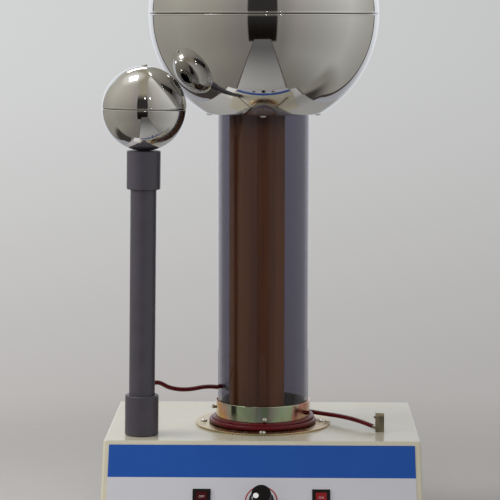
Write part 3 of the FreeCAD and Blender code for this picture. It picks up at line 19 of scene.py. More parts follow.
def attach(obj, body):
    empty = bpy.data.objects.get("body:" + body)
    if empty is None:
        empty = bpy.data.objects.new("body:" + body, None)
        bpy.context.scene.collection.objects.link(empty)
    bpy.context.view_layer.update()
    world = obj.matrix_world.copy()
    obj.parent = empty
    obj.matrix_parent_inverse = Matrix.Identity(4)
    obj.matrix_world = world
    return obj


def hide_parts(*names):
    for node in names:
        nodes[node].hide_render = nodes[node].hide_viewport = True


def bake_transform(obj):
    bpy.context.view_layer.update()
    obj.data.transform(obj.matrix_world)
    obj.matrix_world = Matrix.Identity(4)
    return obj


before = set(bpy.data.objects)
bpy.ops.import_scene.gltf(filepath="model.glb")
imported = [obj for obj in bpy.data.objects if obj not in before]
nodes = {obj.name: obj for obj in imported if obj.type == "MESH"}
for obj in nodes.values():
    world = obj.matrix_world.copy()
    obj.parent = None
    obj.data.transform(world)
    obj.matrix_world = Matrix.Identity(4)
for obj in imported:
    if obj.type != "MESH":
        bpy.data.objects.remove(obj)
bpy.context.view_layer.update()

# %% [markdown]
# ## Small tools first
# Sizes on the drawing are millimetres and Blender's are metres, so one function turns them.
# Paint charts give colours as 0 to 255 in the screen's own curve, and shaders take linear light,
# so a second function turns those. Written once, they keep every later cell short.

# %% Units and colours
def mm(*values):
    """Millimetres to metres, for one number or a point."""
    return values[0] / 1000 if len(values) == 1 else Vector(values) / 1000


def chart(red, green, blue, share=1.0):
    """A chart colour from 0 to 255 as linear light, with its alpha; share darkens or lifts it."""
    def linear(level):
        level = level / 255
        return level / 12.92 if level <= 0.04045 else ((level + 0.055) / 1.055) ** 2.4
    return tuple(linear(level) * share for level in (red, green, blue)) + (1.0,)


print("a mid grey of 128 is", round(chart(128, 128, 128)[0], 3), "of white in linear light")

# %% [markdown]
# What stands on the lid takes its place from the lid's height and from how far back the column is.
# The wand has its own axis, which leans to the right by less than a degree.

# %% Places
LID_TOP, COLUMN_BACK = 120.228, 18.754
COLUMN_FOOT = mm(0, COLUMN_BACK, LID_TOP)
DOME_MIDDLE = mm(0, COLUMN_BACK, 578.428)
PANEL_EDGE = mm(0, -83.746, LID_TOP)
WAND_STAND = (Matrix.Translation(mm(-132.3, COLUMN_BACK - 68.0, LID_TOP + 0.3))
              @ Matrix.Rotation(math.radians(0.7), 4, "Y"))
print("dome at", DOME_MIDDLE[:], "and wand at", WAND_STAND.translation[:])

# %% [markdown]
# A shader is a small network of nodes. These helpers add a node, set what it needs and link any
# input that is given as another node's socket. They work the same way in a material, in the world
# and in Geometry Nodes.

# %% Node helpers
def add(tree, kind, inputs=None, **settings):
    """One node with its settings; an input given as a socket becomes a link."""
    made = tree.nodes.new(kind)
    for key, value in settings.items():
        setattr(made, key, value)
    for key, value in (inputs or {}).items():
        if isinstance(value, bpy.types.NodeSocket):
            tree.links.new(value, made.inputs[key])
        else:
            made.inputs[key].default_value = value
    return made


def calc(tree, operation, *values):
    """One Math node; its values are numbers or sockets."""
    return add(tree, "ShaderNodeMath", dict(enumerate(values)), operation=operation).outputs[0]


def product(tree, first, *others):
    """Numbers multiplied together; where they are shares, each of them has to hold."""
    for other in others:
        first = calc(tree, "MULTIPLY", first, other)
    return first


def away_from(tree, value, middle):
    """How far a value is from a middle, to either side."""
    return calc(tree, "ABSOLUTE", calc(tree, "SUBTRACT", value, middle))


def diagonal(tree, first, second):
    """The length across two distances at right angles."""
    squares = [product(tree, side, side) for side in (first, second)]
    return calc(tree, "SQRT", calc(tree, "ADD", *squares))


def vectors(tree, operation, *values, **inputs):
    """One Vector Math node; a length and a dot product come out as one number."""
    inputs.update(enumerate(values))
    made = add(tree, "ShaderNodeVectorMath", inputs, operation=operation)
    return made.outputs["Value" if operation in ("LENGTH", "DOT_PRODUCT") else "Vector"]


def dot(tree, point, axis):
    """How far a point lies along an axis."""
    return vectors(tree, "DOT_PRODUCT", point, axis)


def vector(tree, **parts):
    """A vector put together from X, Y and Z."""
    return add(tree, "ShaderNodeCombineXYZ", parts).outputs[0]


def step(tree, value, start, end, low=0.0, high=1.0):
    """A soft step: low before start, high after end."""
    inputs = {"Value": value, "From Min": start, "From Max": end, "To Min": low, "To Max": high}
    made = add(tree, "ShaderNodeMapRange", inputs, interpolation_type="SMOOTHSTEP")
    return made.outputs["Result"]


def mix(tree, share, first, second):
    """Two colours in one, by share."""
    inputs = {0: share, 6: first, 7: second}
    return add(tree, "ShaderNodeMix", inputs, data_type="RGBA").outputs[2]


def patched(tree, base, rows, *always):
    """Colours laid over a base, each where all its (value, begins, full) steps hold."""
    for colour, *edges in rows:
        share = product(tree, *(step(tree, *edge) for edge in edges), *always)
        base = mix(tree, share, base, colour)
    return base


def ramp(tree, value, stops):
    """A colour ramp from (position, colour) stops."""
    made = add(tree, "ShaderNodeValToRGB", {0: value})
    elements = made.color_ramp.elements
    while len(elements) < len(stops):
        elements.new(1.0)
    for element, (position, colour) in zip(elements, stops):
        element.position, element.color = position, colour
    return made.outputs["Color"]


print("node helpers ready")

# %% [markdown]
# ## The camera
# A long lens from a little over two metres away, almost level with the dome, flattens the
# perspective as in a product picture. The aim is written as a turn to the side, a tilt down and a
# small roll, because those are what a photographer sets on a tripod.

# %% Camera
CAMERA_PLACE = (0.026418, -2.289906, 0.575753)
CAMERA_TURN, CAMERA_TILT, CAMERA_ROLL = 0.0179, 0.1120, -0.0012
LENS, SENSOR = 149.73, 36

ahead = Vector((-math.sin(CAMERA_TURN) * math.cos(CAMERA_TILT),
                math.cos(CAMERA_TURN) * math.cos(CAMERA_TILT), -math.sin(CAMERA_TILT)))
level = Vector((math.cos(CAMERA_TURN), math.sin(CAMERA_TURN), 0))
roll = Matrix.Rotation(CAMERA_ROLL, 3, ahead)
side, over = roll @ level, roll @ level.cross(ahead)
camera = bpy.data.objects.new("camera", bpy.data.cameras.new("camera"))
camera.data.lens, camera.data.sensor_width = LENS, SENSOR
stand = Matrix((side, over, -ahead)).transposed().to_4x4()
camera.matrix_world = Matrix.Translation(CAMERA_PLACE) @ stand
bpy.context.scene.collection.objects.link(camera)
bpy.context.scene.camera = camera
print("camera", round(camera.location.length, 2), "m from the foot of the cabinet")

# %% [markdown]
# ## The studio
# Polished metal shows the room more than itself, so the room is most of its look. It is a pale
# tent with a dark gap where the camera looks in, a warm ceiling and a brighter sweep of paper
# behind. The world shader paints that tent by direction, and only for rays that reflect. It works
# with four measures of a direction: how far it goes to the right, to the rear and up, and its turn
# about the vertical in degrees, with the camera at 0 and the right at 90.

# %% World
CHROME = 0.62


def cloth(red, green, blue):
    """A colour of the tent that looks as written when it is seen in the chrome."""
    return chart(red, green, blue, 1 / CHROME)


scene = bpy.context.scene
scene.view_settings.view_transform = "Standard"
world = bpy.data.worlds.new("studio")
world.use_nodes = True
world.cycles.sampling_method = "NONE"
scene.world = world
sky = world.node_tree
look = add(sky, "ShaderNodeTexCoord").outputs["Generated"]
across, depth, height = add(sky, "ShaderNodeSeparateXYZ", {0: look}).outputs
turn = calc(sky, "ARCTAN2", across, product(sky, depth, -1.0))
turn = product(sky, turn, 180 / math.pi)
print("world: the chrome gives back", CHROME, "of what it mirrors")

# %% [markdown]
# The cloth's colour changes with the turn and gets lighter upwards. Over it lie patches with soft
# edges, one row each: a colour, and for every measure that bounds it, where the patch begins and
# where it is full. Behind the machine hangs a sweep of paper with a dark seam down both edges, and
# in front is the gap that the camera looks through.

# %% Tent
TENT = [(-180, (126, 122, 116)), (-94, (141, 139, 131)), (-63, (132, 129, 122)),
        (-45, (126, 123, 115)), (-22, (114, 109, 106)), (20, (112, 109, 105)),
        (34, (130, 126, 122)), (59, (143, 142, 138)), (98, (163, 163, 159)),
        (138, (140, 138, 133)), (180, (130, 128, 122))]
GLOW_AXIS = (-0.343, 0.18, 0.922)
REAR_MIDDLE, GAP_MIDDLE, FOOT_LOWERED = 8.0, -0.6, 0.16

walls = ramp(sky, calc(sky, "MULTIPLY_ADD", turn, 1 / 360, 0.5),
             [((angle + 180) / 360, cloth(*colour)) for angle, colour in TENT])
walls = vectors(sky, "SCALE", walls, Scale=step(sky, height, -0.5, 0.75, 0.92, 1.6))
off_middle = calc(sky, "ABSOLUTE", across)
foot = calc(sky, "MULTIPLY_ADD", step(sky, across, -0.1, 0.1), FOOT_LOWERED, height)
from_front, from_gap = away_from(sky, turn, REAR_MIDDLE), away_from(sky, turn, GAP_MIDDLE)
past_edge = calc(sky, "SUBTRACT", off_middle, step(sky, height, -0.42, 0.0, 0.5, 0.58))
past_edge = calc(sky, "ADD", past_edge, step(sky, height, -0.7, -0.85, 0.0, 0.1))
from_edge = calc(sky, "ABSOLUTE", past_edge)
sweep_paper = patched(sky, cloth(200, 203, 208), [(cloth(138, 139, 144), (height, 0.1, -0.5))])
dark = patched(sky, chart(24, 20, 16), [(cloth(43, 42, 41), (height, -0.35, 0.1))])
tent = patched(sky, walls, [
    # roof, lamp's glow, shade low down, right corner, the dark foot of the cloth behind
    (cloth(138, 132, 117), (height, 0.34, 0.5), (off_middle, 0.2, 0.13)),
    (cloth(240, 238, 232), (dot(sky, look, GLOW_AXIS), 0.9, 1.0, 0.0, 0.5)),
    (cloth(104, 101, 95), (height, -0.55, -1.0)),
    (cloth(118, 115, 109), (height, -0.52, -0.72), (turn, 84, 100)),
    (cloth(52, 49, 46), (foot, -0.5, -0.66), (from_front, 98, 110)),
    # sweep, seam, gap
    (sweep_paper, (past_edge, 0.004, -0.004), (depth, 0.0, 0.04), (height, 0.55, 0.35)),
    (cloth(56, 48, 46), (from_edge, 0.024, 0.013), (depth, 0.0, 0.04), (height, 0.14, 0.02)),
    (dark, (from_gap, 15.4, 13.9), (height, -0.47, -0.43), (height, 0.72, 0.4)),
])
print("tent of", len(TENT), "panels")

# %% [markdown]
# Rays straight from the camera, and those that went through the column, see plain paper: paler
# towards the top and falling off a little from left to right. Diffuse rays get one even level, so
# paints come out as they are written.

# %% Paper and ambient light
PAPER_TOP, PAPER_HIGH, PAPER_LOW = chart(214, 215, 215), chart(203, 204, 204), chart(174, 170, 168)
PAPER_SIDE, PAPER_FALL, AMBIENT = 0.15, -0.62, 0.44


def ray_kinds(tree):
    """Shares for rays that look straight or through the column, and for mirrored rays."""
    rays = add(tree, "ShaderNodeLightPath").outputs
    straight = calc(tree, "MAXIMUM", rays["Is Camera Ray"], rays["Is Transmission Ray"])
    return straight, rays["Is Glossy Ray"]


aside = calc(sky, "MAXIMUM", calc(sky, "MINIMUM", across, PAPER_SIDE), -PAPER_SIDE)
paper = patched(sky, PAPER_HIGH, [(PAPER_TOP, (height, 0.0, 0.09)),
                                  (PAPER_LOW, (height, 0.01, -0.25))])
paper = vectors(sky, "SCALE", paper, Scale=calc(sky, "MULTIPLY_ADD", aside, PAPER_FALL, 1.0))
straight_ray, mirrored_ray = ray_kinds(sky)
even = mix(sky, mirrored_ray, (AMBIENT, AMBIENT, AMBIENT, 1), tent)
sky.links.new(mix(sky, straight_ray, even, paper), sky.nodes["Background"].inputs["Color"])
print("paper, and an ambient level of", AMBIENT)

# %% [markdown]
# Broad lamps do the lighting: one above, one high behind, which edges the dome, one in front over
# the camera, and one low on the left, which makes the lid brighter on that side. Those two fills
# are kept out of the chrome. Two very small lamps beside the camera only leave glints on the
# rolled rims and on the column.

# %% Lamps
LAMPS = [
    # name, place, aim, width, depth, power
    ("roof_box", (-0.66, 0.10, 1.98), (-0.02, 0.0, 0.3), 0.46, 0.46, 4.2),
    ("rear_box", (-0.37, 1.45, 1.75), (0.0, 0.0, 0.4), 0.9, 0.25, 4.0),
    ("front_fill", (-0.1, -2.3, 1.3), (0.0, 0.0, 0.3), 1.1, 1.1, 18.0),
    ("left_fill", (-0.7, -0.1, 0.62), (0.0, 0.0, 0.12), 0.45, 0.45, 2.9),
    ("glint_near", (0.14, -2.35, 1.75), (0.0, 0.0, 0.5), 0.07, 0.07, 0.5),
    ("glint_right", (0.72, -2.25, 1.75), (0.0, 0.0, 0.5), 0.07, 0.07, 0.5),
]
for name, place, aim, width, depth, power in LAMPS:
    lamp = bpy.data.lights.new(name, "AREA")
    lamp.shape, lamp.size, lamp.size_y, lamp.energy = "RECTANGLE", width, depth, power
    holder = bpy.data.objects.new(name, lamp)
    holder.location = place
    holder.rotation_mode = "QUATERNION"
    holder.rotation_quaternion = (Vector(aim) - Vector(place)).to_track_quat("-Z", "Y")
    holder.visible_camera = False
    holder.visible_glossy = "fill" not in name
    scene.collection.objects.link(holder)
print("lamps", [row[0] for row in LAMPS])

# %% [markdown]
# The floor is a disc of pale board. It has to catch the cabinet's shadow and light the underside,
# yet melt into the paper behind, so for camera rays it fades out with the distance from the
# cabinet. In the chrome the floor is painted lighter, with painted shade towards the camera and a
# painted highlight close beside the cabinet, where the cabinet's shadow falls.

# %% Floor
FLOOR_FADE = (0.36, 0.95)
FLOOR_RADIUS, FLOOR_SIDES = 1.3, 96
CABINET_MIDDLE = -0.012

floor_mesh = bpy.data.meshes.new("floor")
rim = [(FLOOR_RADIUS * math.cos(a), FLOOR_RADIUS * math.sin(a), 0)
       for a in (math.tau * k / FLOOR_SIDES for k in range(FLOOR_SIDES))]
floor_mesh.from_pydata(rim, [], [range(FLOOR_SIDES)])
floor = bpy.data.objects.new("floor", floor_mesh)
scene.collection.objects.link(floor)
board = bpy.data.materials.new("floor_board")
board.use_nodes = True
tree = board.node_tree
shader = tree.nodes["Principled BSDF"]
shader.inputs["Roughness"].default_value = 0.75
point = add(tree, "ShaderNodeTexCoord").outputs["Object"]
straight_ray, mirrored_ray = ray_kinds(tree)
aside = away_from(tree, dot(tree, point, (1, 0, 0)), CABINET_MIDDLE)
back = dot(tree, point, (0, 1, 0))
speck = add(tree, "ShaderNodeTexNoise", {"Vector": point, "Scale": 60.0, "Detail": 4.0})
pale = mix(tree, speck.outputs["Fac"], chart(177, 174, 172), chart(182, 179, 177))
# for the chrome only: painted light over the whole board, painted shade towards the camera, and a
# painted highlight beside the cabinet over its shadow
pale = patched(tree, pale, [
    (chart(194, 192, 190),), (chart(108, 107, 106), (back, 0.0, -0.95)),
    (chart(240, 239, 238), (back, -0.13, -0.1), (back, 0.06, -0.02), (aside, 0.16, 0.19)),
], mirrored_ray)
tree.links.new(pale, shader.inputs["Base Color"])
floor_mesh.materials.append(board)
print("floor", FLOOR_RADIUS, "m, fading from", FLOOR_FADE[0])

# %% [markdown]
# The chrome shows only a strip of the floor, wider behind than in front, as where the tent's cloth
# meets a table. A brown binding runs along both of its edges and ends behind the cabinet.

# %% Strip that the chrome shows
STRIP_FRONT, STRIP_STEP, STRIP_GROWTH, GROWS_FROM = 0.198, 0.08, 0.19, 0.1
BINDING, BINDING_END = (-0.01, -0.006), (0.06, 0.02)

strip = calc(tree, "MAXIMUM", calc(tree, "ADD", back, GROWS_FROM), 0.0)
strip = calc(tree, "MULTIPLY_ADD", strip, STRIP_GROWTH, STRIP_FRONT)
strip = calc(tree, "ADD", strip, step(tree, back, -0.125, -0.1, 0.0, STRIP_STEP))
over_edge = calc(tree, "SUBTRACT", aside, strip)
bound = product(tree, step(tree, over_edge, *BINDING), mirrored_ray, step(tree, back, *BINDING_END))
faded = product(tree, step(tree, vectors(tree, "LENGTH", point), *FLOOR_FADE), straight_ray)
off_strip = product(tree, step(tree, over_edge, -0.002, 0.002), mirrored_ray)
cover = shader.outputs[0]
for share, kind, inputs in (
        (bound, "ShaderNodeBsdfDiffuse", {"Color": chart(70, 52, 46)}),
        (calc(tree, "MAXIMUM", faded, off_strip), "ShaderNodeBsdfTransparent", {})):
    other = add(tree, kind, inputs).outputs[0]
    cover = add(tree, "ShaderNodeMixShader", {0: share, 1: cover, 2: other}).outputs[0]
tree.links.new(cover, tree.nodes["Material Output"].inputs["Surface"])
print("strip", 2 * STRIP_FRONT, "m wide in front")

# %% [markdown]
# ## Finishes
# Nothing real has one flat colour. Each finish here starts from a colour and a gloss, and then
# gets three things from noise on the piece's own coordinates: faint patches in the colour, small
# changes of gloss where hands and dust have been, and a fine relief such as the orange peel of a
# powder coat. One function makes them all, and the rows below give each finish its numbers.

# %% A function for grained finishes
FINISH = {}


def begin(name, **sockets):
    """A new material: its node tree, its main shader and the piece's own coordinates."""
    material = bpy.data.materials.new("finish_" + name)
    material.use_nodes = True
    tree = material.node_tree
    shader = tree.nodes["Principled BSDF"]
    for key, value in sockets.items():
        shader.inputs[key.replace("_", " ").title().replace("Ior", "IOR")].default_value = value
    FINISH[name] = material
    return tree, shader, add(tree, "ShaderNodeTexCoord").outputs["Object"]


def noise(tree, point, size, detail=3.0, stretch=(1, 1, 1), warp=0.0):
    """Noise whose features are about one size, in metres, along unstretched axes."""
    scale = tuple(share / size for share in stretch)
    moved = add(tree, "ShaderNodeMapping", {"Vector": point, "Scale": scale}).outputs[0]
    inputs = {"Vector": moved, "Scale": 1.0, "Detail": detail, "Distortion": warp}
    return add(tree, "ShaderNodeTexNoise", inputs).outputs["Fac"]


def relief(tree, shader, value, depth):
    """Bump of a real depth in metres."""
    bump = add(tree, "ShaderNodeBump", {"Height": value, "Distance": depth, "Strength": 1.0})
    tree.links.new(bump.outputs[0], shader.inputs["Normal"])


def uneven(tree, shader, value, gloss, change):
    """Roughness that wanders a little about its middle."""
    rough = step(tree, value, 0.3, 0.7, gloss - change, gloss + change)
    tree.links.new(rough, shader.inputs["Roughness"])


def grained(name, colour, roughness, grain, depth, patch, contrast, stretch=(1, 1, 1), **sockets):
    """A finish with patches in its colour, wandering gloss and a fine relief; sizes in mm."""
    tree, shader, point = begin(name, **sockets)
    patches = noise(tree, point, mm(patch), 4.0, stretch)
    darker, lighter = (tuple(min(1.0, level * share) for level in chart(*colour)[:3]) + (1.0,)
                       for share in (1 - contrast, 1 + contrast))
    colours = mix(tree, step(tree, patches, 0.3, 0.7), darker, lighter)
    tree.links.new(colours, shader.inputs["Base Color"])
    uneven(tree, shader, patches, roughness, roughness * 0.15)
    relief(tree, shader, noise(tree, point, mm(grain), 2.0, stretch), mm(depth))
    return tree, shader, point


print("grained() gives patches, gloss and relief")

# %% [markdown]
# ### Paint, plastic and rubber
# The cabinet has a cream powder coat with some gloss, so bright screws mirror faintly in the lid.
# Pipe and couplings are moulded plastic, smoother and darker. Rubber is dull, with a coarser
# grain. Most need nothing but their row of numbers, and three have one more setting.

# %% Paints, plastics and rubbers
PLAIN = [
    # name, chart colour, roughness, then grain, relief and patch in millimetres, contrast
    ("tray_paint", (88, 89, 92), 0.5, 0.9, 0.02, 50, 0.07),
    ("foot_rubber", (34, 33, 32), 0.72, 0.6, 0.03, 9, 0.2),
    ("inlet_black", (28, 28, 30), 0.42, 0.4, 0.01, 15, 0.15),
    ("mount_plastic", (206, 204, 196), 0.45, 0.7, 0.01, 25, 0.04),
    ("rim_black", (26, 25, 25), 0.6, 0.5, 0.01, 20, 0.15),
    ("wand_plastic", (67, 63, 72), 0.42, 0.9, 0.012, 22, 0.06),
    ("grommet_rubber", (30, 28, 28), 0.6, 0.4, 0.01, 4, 0.15),
    ("cradle_plastic", (52, 54, 58), 0.5, 0.6, 0.01, 20, 0.1),
    ("roller_nylon", (226, 222, 208), 0.4, 0.7, 0.01, 16, 0.05),
    ("legend_print", (192, 168, 166), 0.5, 0.3, 0.002, 3, 0.04),
]
for row in PLAIN:
    grained(*row)
grained("cabinet_paint", (191, 185, 166), 0.24, 1.1, 0.012, 60, 0.025, specular_ior_level=0.35)
grained("switch_black", (17, 17, 19), 0.32, 0.35, 0.006, 12, 0.15, specular_ior_level=0.2)
grained("roller_felt", (178, 168, 150), 0.95, 0.5, 0.12, 6, 0.14, sheen_weight=0.4)
print("paints, plastics and rubbers:", len(FINISH), "finishes so far")

# %% [markdown]
# ### Plain metals
# Turned, drawn and plated steel and brass share one recipe with metal on. Screws are bright zinc,
# the motor's shell is satin steel, and brass blades and combs have dulled a little, which shows as
# patches. Shafts, motor and clip have a grain that runs one way, so their noise is stretched.

# %% Plain metals
METALS = [
    # as above, and how much each axis of the noise is used
    ("zinc_screw", (214, 214, 212), 0.2, 0.5, 0.01, 3, 0.1),
    ("pot_metal", (168, 166, 160), 0.36, 0.5, 0.01, 8, 0.12),
    ("blade_brass", (206, 172, 98), 0.26, 0.5, 0.006, 5, 0.15),
    ("frame_steel", (170, 171, 174), 0.42, 0.8, 0.012, 14, 0.14),
    ("bronze_bush", (178, 128, 78), 0.34, 0.4, 0.008, 4, 0.16),
    ("comb_brass", (198, 160, 92), 0.32, 0.3, 0.006, 4, 0.18),
    ("ferrule_metal", (176, 172, 164), 0.3, 0.3, 0.006, 2, 0.2),
    ("shaft_steel", (186, 186, 188), 0.2, 0.4, 0.006, 6, 0.08, (0.1, 1, 1)),
    ("motor_steel", (148, 150, 154), 0.46, 0.6, 0.01, 18, 0.1, (0.3, 1, 1)),
    ("clip_nickel", (160, 152, 134), 0.34, 0.35, 0.01, 3.4, 0.28, (1, 1, 0.12)),
]
for row in METALS:
    grained(*row, metallic=1.0)
print("plain metals:", len(FINISH), "finishes so far")

# %% [markdown]
# ### Polished chrome
# Dome and ball are spun from sheet, polished and plated. Such a mirror is not quite clean: a
# broad, very shallow waviness stays from spinning, and faint rings stay from the polishing wheel.
# The waviness is relief at a scale of centimetres, the rings are noise stretched round the piece,
# and both stay so shallow that the tent's edges still read as edges.

# %% Chrome
POLISH_RING, POLISH_SHARE, WAVE_DEPTH = mm(1.6), 0.012, 0.0016


def chrome(name, wave, centre):
    """Plated and polished sheet, with spinning waves about a vertical axis."""
    tree, shader, point = begin(name, metallic=1.0, base_color=chart(206, 205, 203))
    moved = vectors(tree, "SUBTRACT", point, centre)
    right, back, up = add(tree, "ShaderNodeSeparateXYZ", {0: moved}).outputs
    rings = vector(tree, X=diagonal(tree, right, back), Y=up)
    polish = noise(tree, rings, POLISH_RING, 2.0)
    both = calc(tree, "MULTIPLY_ADD", polish, POLISH_SHARE, noise(tree, point, wave, 1.0))
    relief(tree, shader, both, wave * WAVE_DEPTH)
    uneven(tree, shader, noise(tree, point, wave * 0.7, 4.0), 0.045, 0.015)


chrome("dome_chrome", mm(70), mm(0, COLUMN_BACK, 578.4))
chrome("ball_chrome", mm(30), mm(-127.9, -49.2, 476.8))
print("chrome for the dome and the ball")

# %% [markdown]
# ### Yellow zinc
# The column's foot is steel with a yellow-passivated zinc plating. Its film is thin enough to
# colour light by interference, so its colour depends on its thickness: gold and pink at both
# sides, green and grey between. The thickness grows from left to right, faster near the flange,
# with noise on top, and a colour ramp turns it into the order of the colours. The flange has
# weathered to a duller yellow.

# %% Passivated zinc
COLLAR_REACH, COLLAR_RISE, FLANGE_TOP = mm(52.75), mm(24), mm(LID_TOP + 2.2)
SPREAD_TOP, SPREAD_FOOT = 0.46 / COLLAR_REACH, 0.64 / COLLAR_REACH
FILM_NOISE, STREAK_NOISE = 0.42, 0.35

tree, shader, point = begin("passivated_zinc", metallic=1.0)
film = noise(tree, point, mm(24), 2.5, (1, 1, 0.5), 0.9)
streaks = noise(tree, point, mm(9), 2.0, (1, 1, 0.08))
film = calc(tree, "MULTIPLY_ADD", calc(tree, "SUBTRACT", streaks, 0.5), STREAK_NOISE, film)
film = product(tree, calc(tree, "SUBTRACT", film, 0.5), FILM_NOISE)
height = dot(tree, point, (0, 0, 1))
spread = step(tree, height, FLANGE_TOP + COLLAR_RISE, FLANGE_TOP, SPREAD_TOP, SPREAD_FOOT)
thickness = calc(tree, "MULTIPLY_ADD", dot(tree, point, (1, 0, 0)), spread, 0.5)
colours = ramp(tree, calc(tree, "ADD", thickness, film), [
    (0.0, chart(206, 184, 144)), (0.07, chart(206, 156, 92)), (0.13, chart(200, 150, 134)),
    (0.21, chart(166, 160, 148)), (0.3, chart(160, 180, 148)), (0.42, chart(172, 174, 164)),
    (0.52, chart(150, 174, 132)), (0.62, chart(172, 170, 160)), (0.72, chart(166, 186, 154)),
    (0.8, chart(170, 160, 142)), (0.88, chart(186, 122, 114)), (1.0, chart(196, 158, 130))])
on_flange = step(tree, height, FLANGE_TOP + mm(0.4), FLANGE_TOP, 0.0, 0.75)
tree.links.new(mix(tree, on_flange, colours, chart(176, 160, 122)), shader.inputs["Base Color"])
gloss = step(tree, streaks, 0.3, 0.7, 0.08, 0.16)
tree.links.new(calc(tree, "MULTIPLY_ADD", on_flange, 0.2, gloss), shader.inputs["Roughness"])
relief(tree, shader, noise(tree, point, mm(0.8), 2.0, (1, 1, 0.3)), mm(0.008))
print("passivated zinc")

# %% [markdown]
# ### Smoked acrylic
# The column is a clear tube with a grey-violet tint. Its wall tints what is seen through it, once
# at the rims where one wall is crossed and twice in the middle. Light from a lamp does not find
# its way through bent glass in a short render, so for shadow rays the same wall is only a filter.

# %% Smoked tube
TUBE_TINT = (0.34, 0.33, 0.4)
tree, shader, point = begin("smoked_tube", base_color=TUBE_TINT + (1.0,), ior=1.42,
                            transmission_weight=1.0)
uneven(tree, shader, noise(tree, point, mm(60), 4.0, (1, 1, 0.2)), 0.03, 0.02)
filtered = tuple(math.sqrt(level) for level in TUBE_TINT) + (1.0,)
lamp_side = add(tree, "ShaderNodeMixShader", {
    0: add(tree, "ShaderNodeLightPath").outputs["Is Shadow Ray"], 1: shader.outputs[0],
    2: add(tree, "ShaderNodeBsdfTransparent", {"Color": filtered}).outputs[0]})
tree.links.new(lamp_side.outputs[0], tree.nodes["Material Output"].inputs["Surface"])
print("smoked tube, one wall passes", TUBE_TINT)

# %% [markdown]
# ### Printed panel
# The sloping panel is one printed film: a blue title band above, a cool grey field below and a
# thin red ring round the speed knob. The print is worked out in the panel's own plane, as the
# distance down the slope from its upper edge and the distance to the right.

# %% Printed film
LEAN = math.radians(36)
DOWN = Vector((0, -math.sin(LEAN), -math.cos(LEAN)))
OUT = Vector((0, -math.cos(LEAN), math.sin(LEAN)))
BAND, RING = (mm(5.2), mm(43.1)), (mm(16.1), mm(17.4))
CONTROL_ROW = mm(70.3)
SOFT = mm(0.15)


def between(value, limits):
    """The two steps that keep a value between limits, with a soft edge outside each."""
    return (value, limits[0] - SOFT, limits[0]), (value, limits[1] + SOFT, limits[1])


tree, shader, point = begin("fascia_print", roughness=0.34, specular_ior_level=0.25)
moved = vectors(tree, "SUBTRACT", point, PANEL_EDGE)
down, right = dot(tree, moved, DOWN), dot(tree, moved, (1, 0, 0))
from_knob = diagonal(tree, calc(tree, "SUBTRACT", down, CONTROL_ROW), right)
ink = noise(tree, point, mm(30), 4.0)
field = mix(tree, ink, chart(186, 185, 191), chart(190, 189, 194))
blue = mix(tree, ink, chart(23, 71, 148), chart(27, 77, 154))
printed = patched(tree, field, [(blue, *between(down, BAND)),
                                (chart(150, 30, 38), *between(from_knob, RING))])
tree.links.new(printed, shader.inputs["Base Color"])
relief(tree, shader, noise(tree, point, mm(0.6), 2.0), mm(0.006))
print("printed film, band", [round(v * 1000, 1) for v in BAND], "mm down the slope")

# %% [markdown]
# ### Knob and rockers
# The knob is matt black. A pale dot is let into its face and a fine pale line, a painted highlight,
# runs down its side, both placed by the same two distances in the panel's plane as the print. The
# two rockers are one material too: a soft step from left to right paints shade on the left one, so
# it is the darker red.

# %% Knob and rockers
DOT_RIGHT, DOT_DOWN, DOT_REACH = mm(-5.6), mm(2.2), mm(2.9)
# the pale line down the knob's skirt is a painted highlight; the dot is the printed pointer
HIGHLIGHT_RIGHT, HIGHLIGHT_DOWN, HIGHLIGHT_HALF = -0.9, 0.436, (mm(0.65), mm(0.5))
KNOB_FACE, KNOB_EDGE = mm(20.6), mm(9.4)

tree, shader, point = grained("knob_black", (13, 13, 14), 0.34, 0.4, 0.006, 10, 0.2,
                              specular_ior_level=0.18)
black = shader.inputs["Base Color"].links[0].from_socket
moved = vectors(tree, "SUBTRACT", point, PANEL_EDGE + CONTROL_ROW * DOWN)
right, down, out = (dot(tree, moved, axis) for axis in ((1, 0, 0), DOWN, OUT))
from_dot = diagonal(tree, calc(tree, "SUBTRACT", right, DOT_RIGHT),
                    calc(tree, "SUBTRACT", down, DOT_DOWN))
off_highlight = away_from(tree, product(tree, right, HIGHLIGHT_DOWN), product(tree, down, HIGHLIGHT_RIGHT))
along = calc(tree, "MULTIPLY_ADD", right, HIGHLIGHT_RIGHT, product(tree, down, HIGHLIGHT_DOWN))
# a painted highlight as a pale line down the skirt, then the pale pointer dot on the face
marked = patched(tree, black, [
    (chart(196, 194, 190), (off_highlight, *HIGHLIGHT_HALF), (along, KNOB_EDGE, KNOB_EDGE + SOFT)),
    (chart(232, 232, 230), (from_dot, DOT_REACH + SOFT, DOT_REACH),
     (out, KNOB_FACE, KNOB_FACE + SOFT))])
tree.links.new(marked, shader.inputs["Base Color"])

tree, shader, point = grained("rocker_red", (90, 12, 18), 0.3, 0.8, 0.004, 9, 0.12,
                              specular_ior_level=0.3)
# painted shade: the left rocker gets a darker red and the right one a lighter red, from how light
# falls on them
side = step(tree, dot(tree, point, (1, 0, 0)), mm(-10), mm(10))
tree.links.new(mix(tree, side, chart(62, 9, 14), chart(124, 20, 26)), shader.inputs["Base Color"])
print("knob and rockers, with", len(FINISH), "finishes so far")

# %% [markdown]
# ### Belt, lead and circuit board
# The belt is gum rubber on cloth: warm brown, dull, with lengthwise streaks where it has run. The
# lead has a smooth dark-red sheath. The speed board is green glass laminate, whose traces show as
# a faint grid under the lacquer.

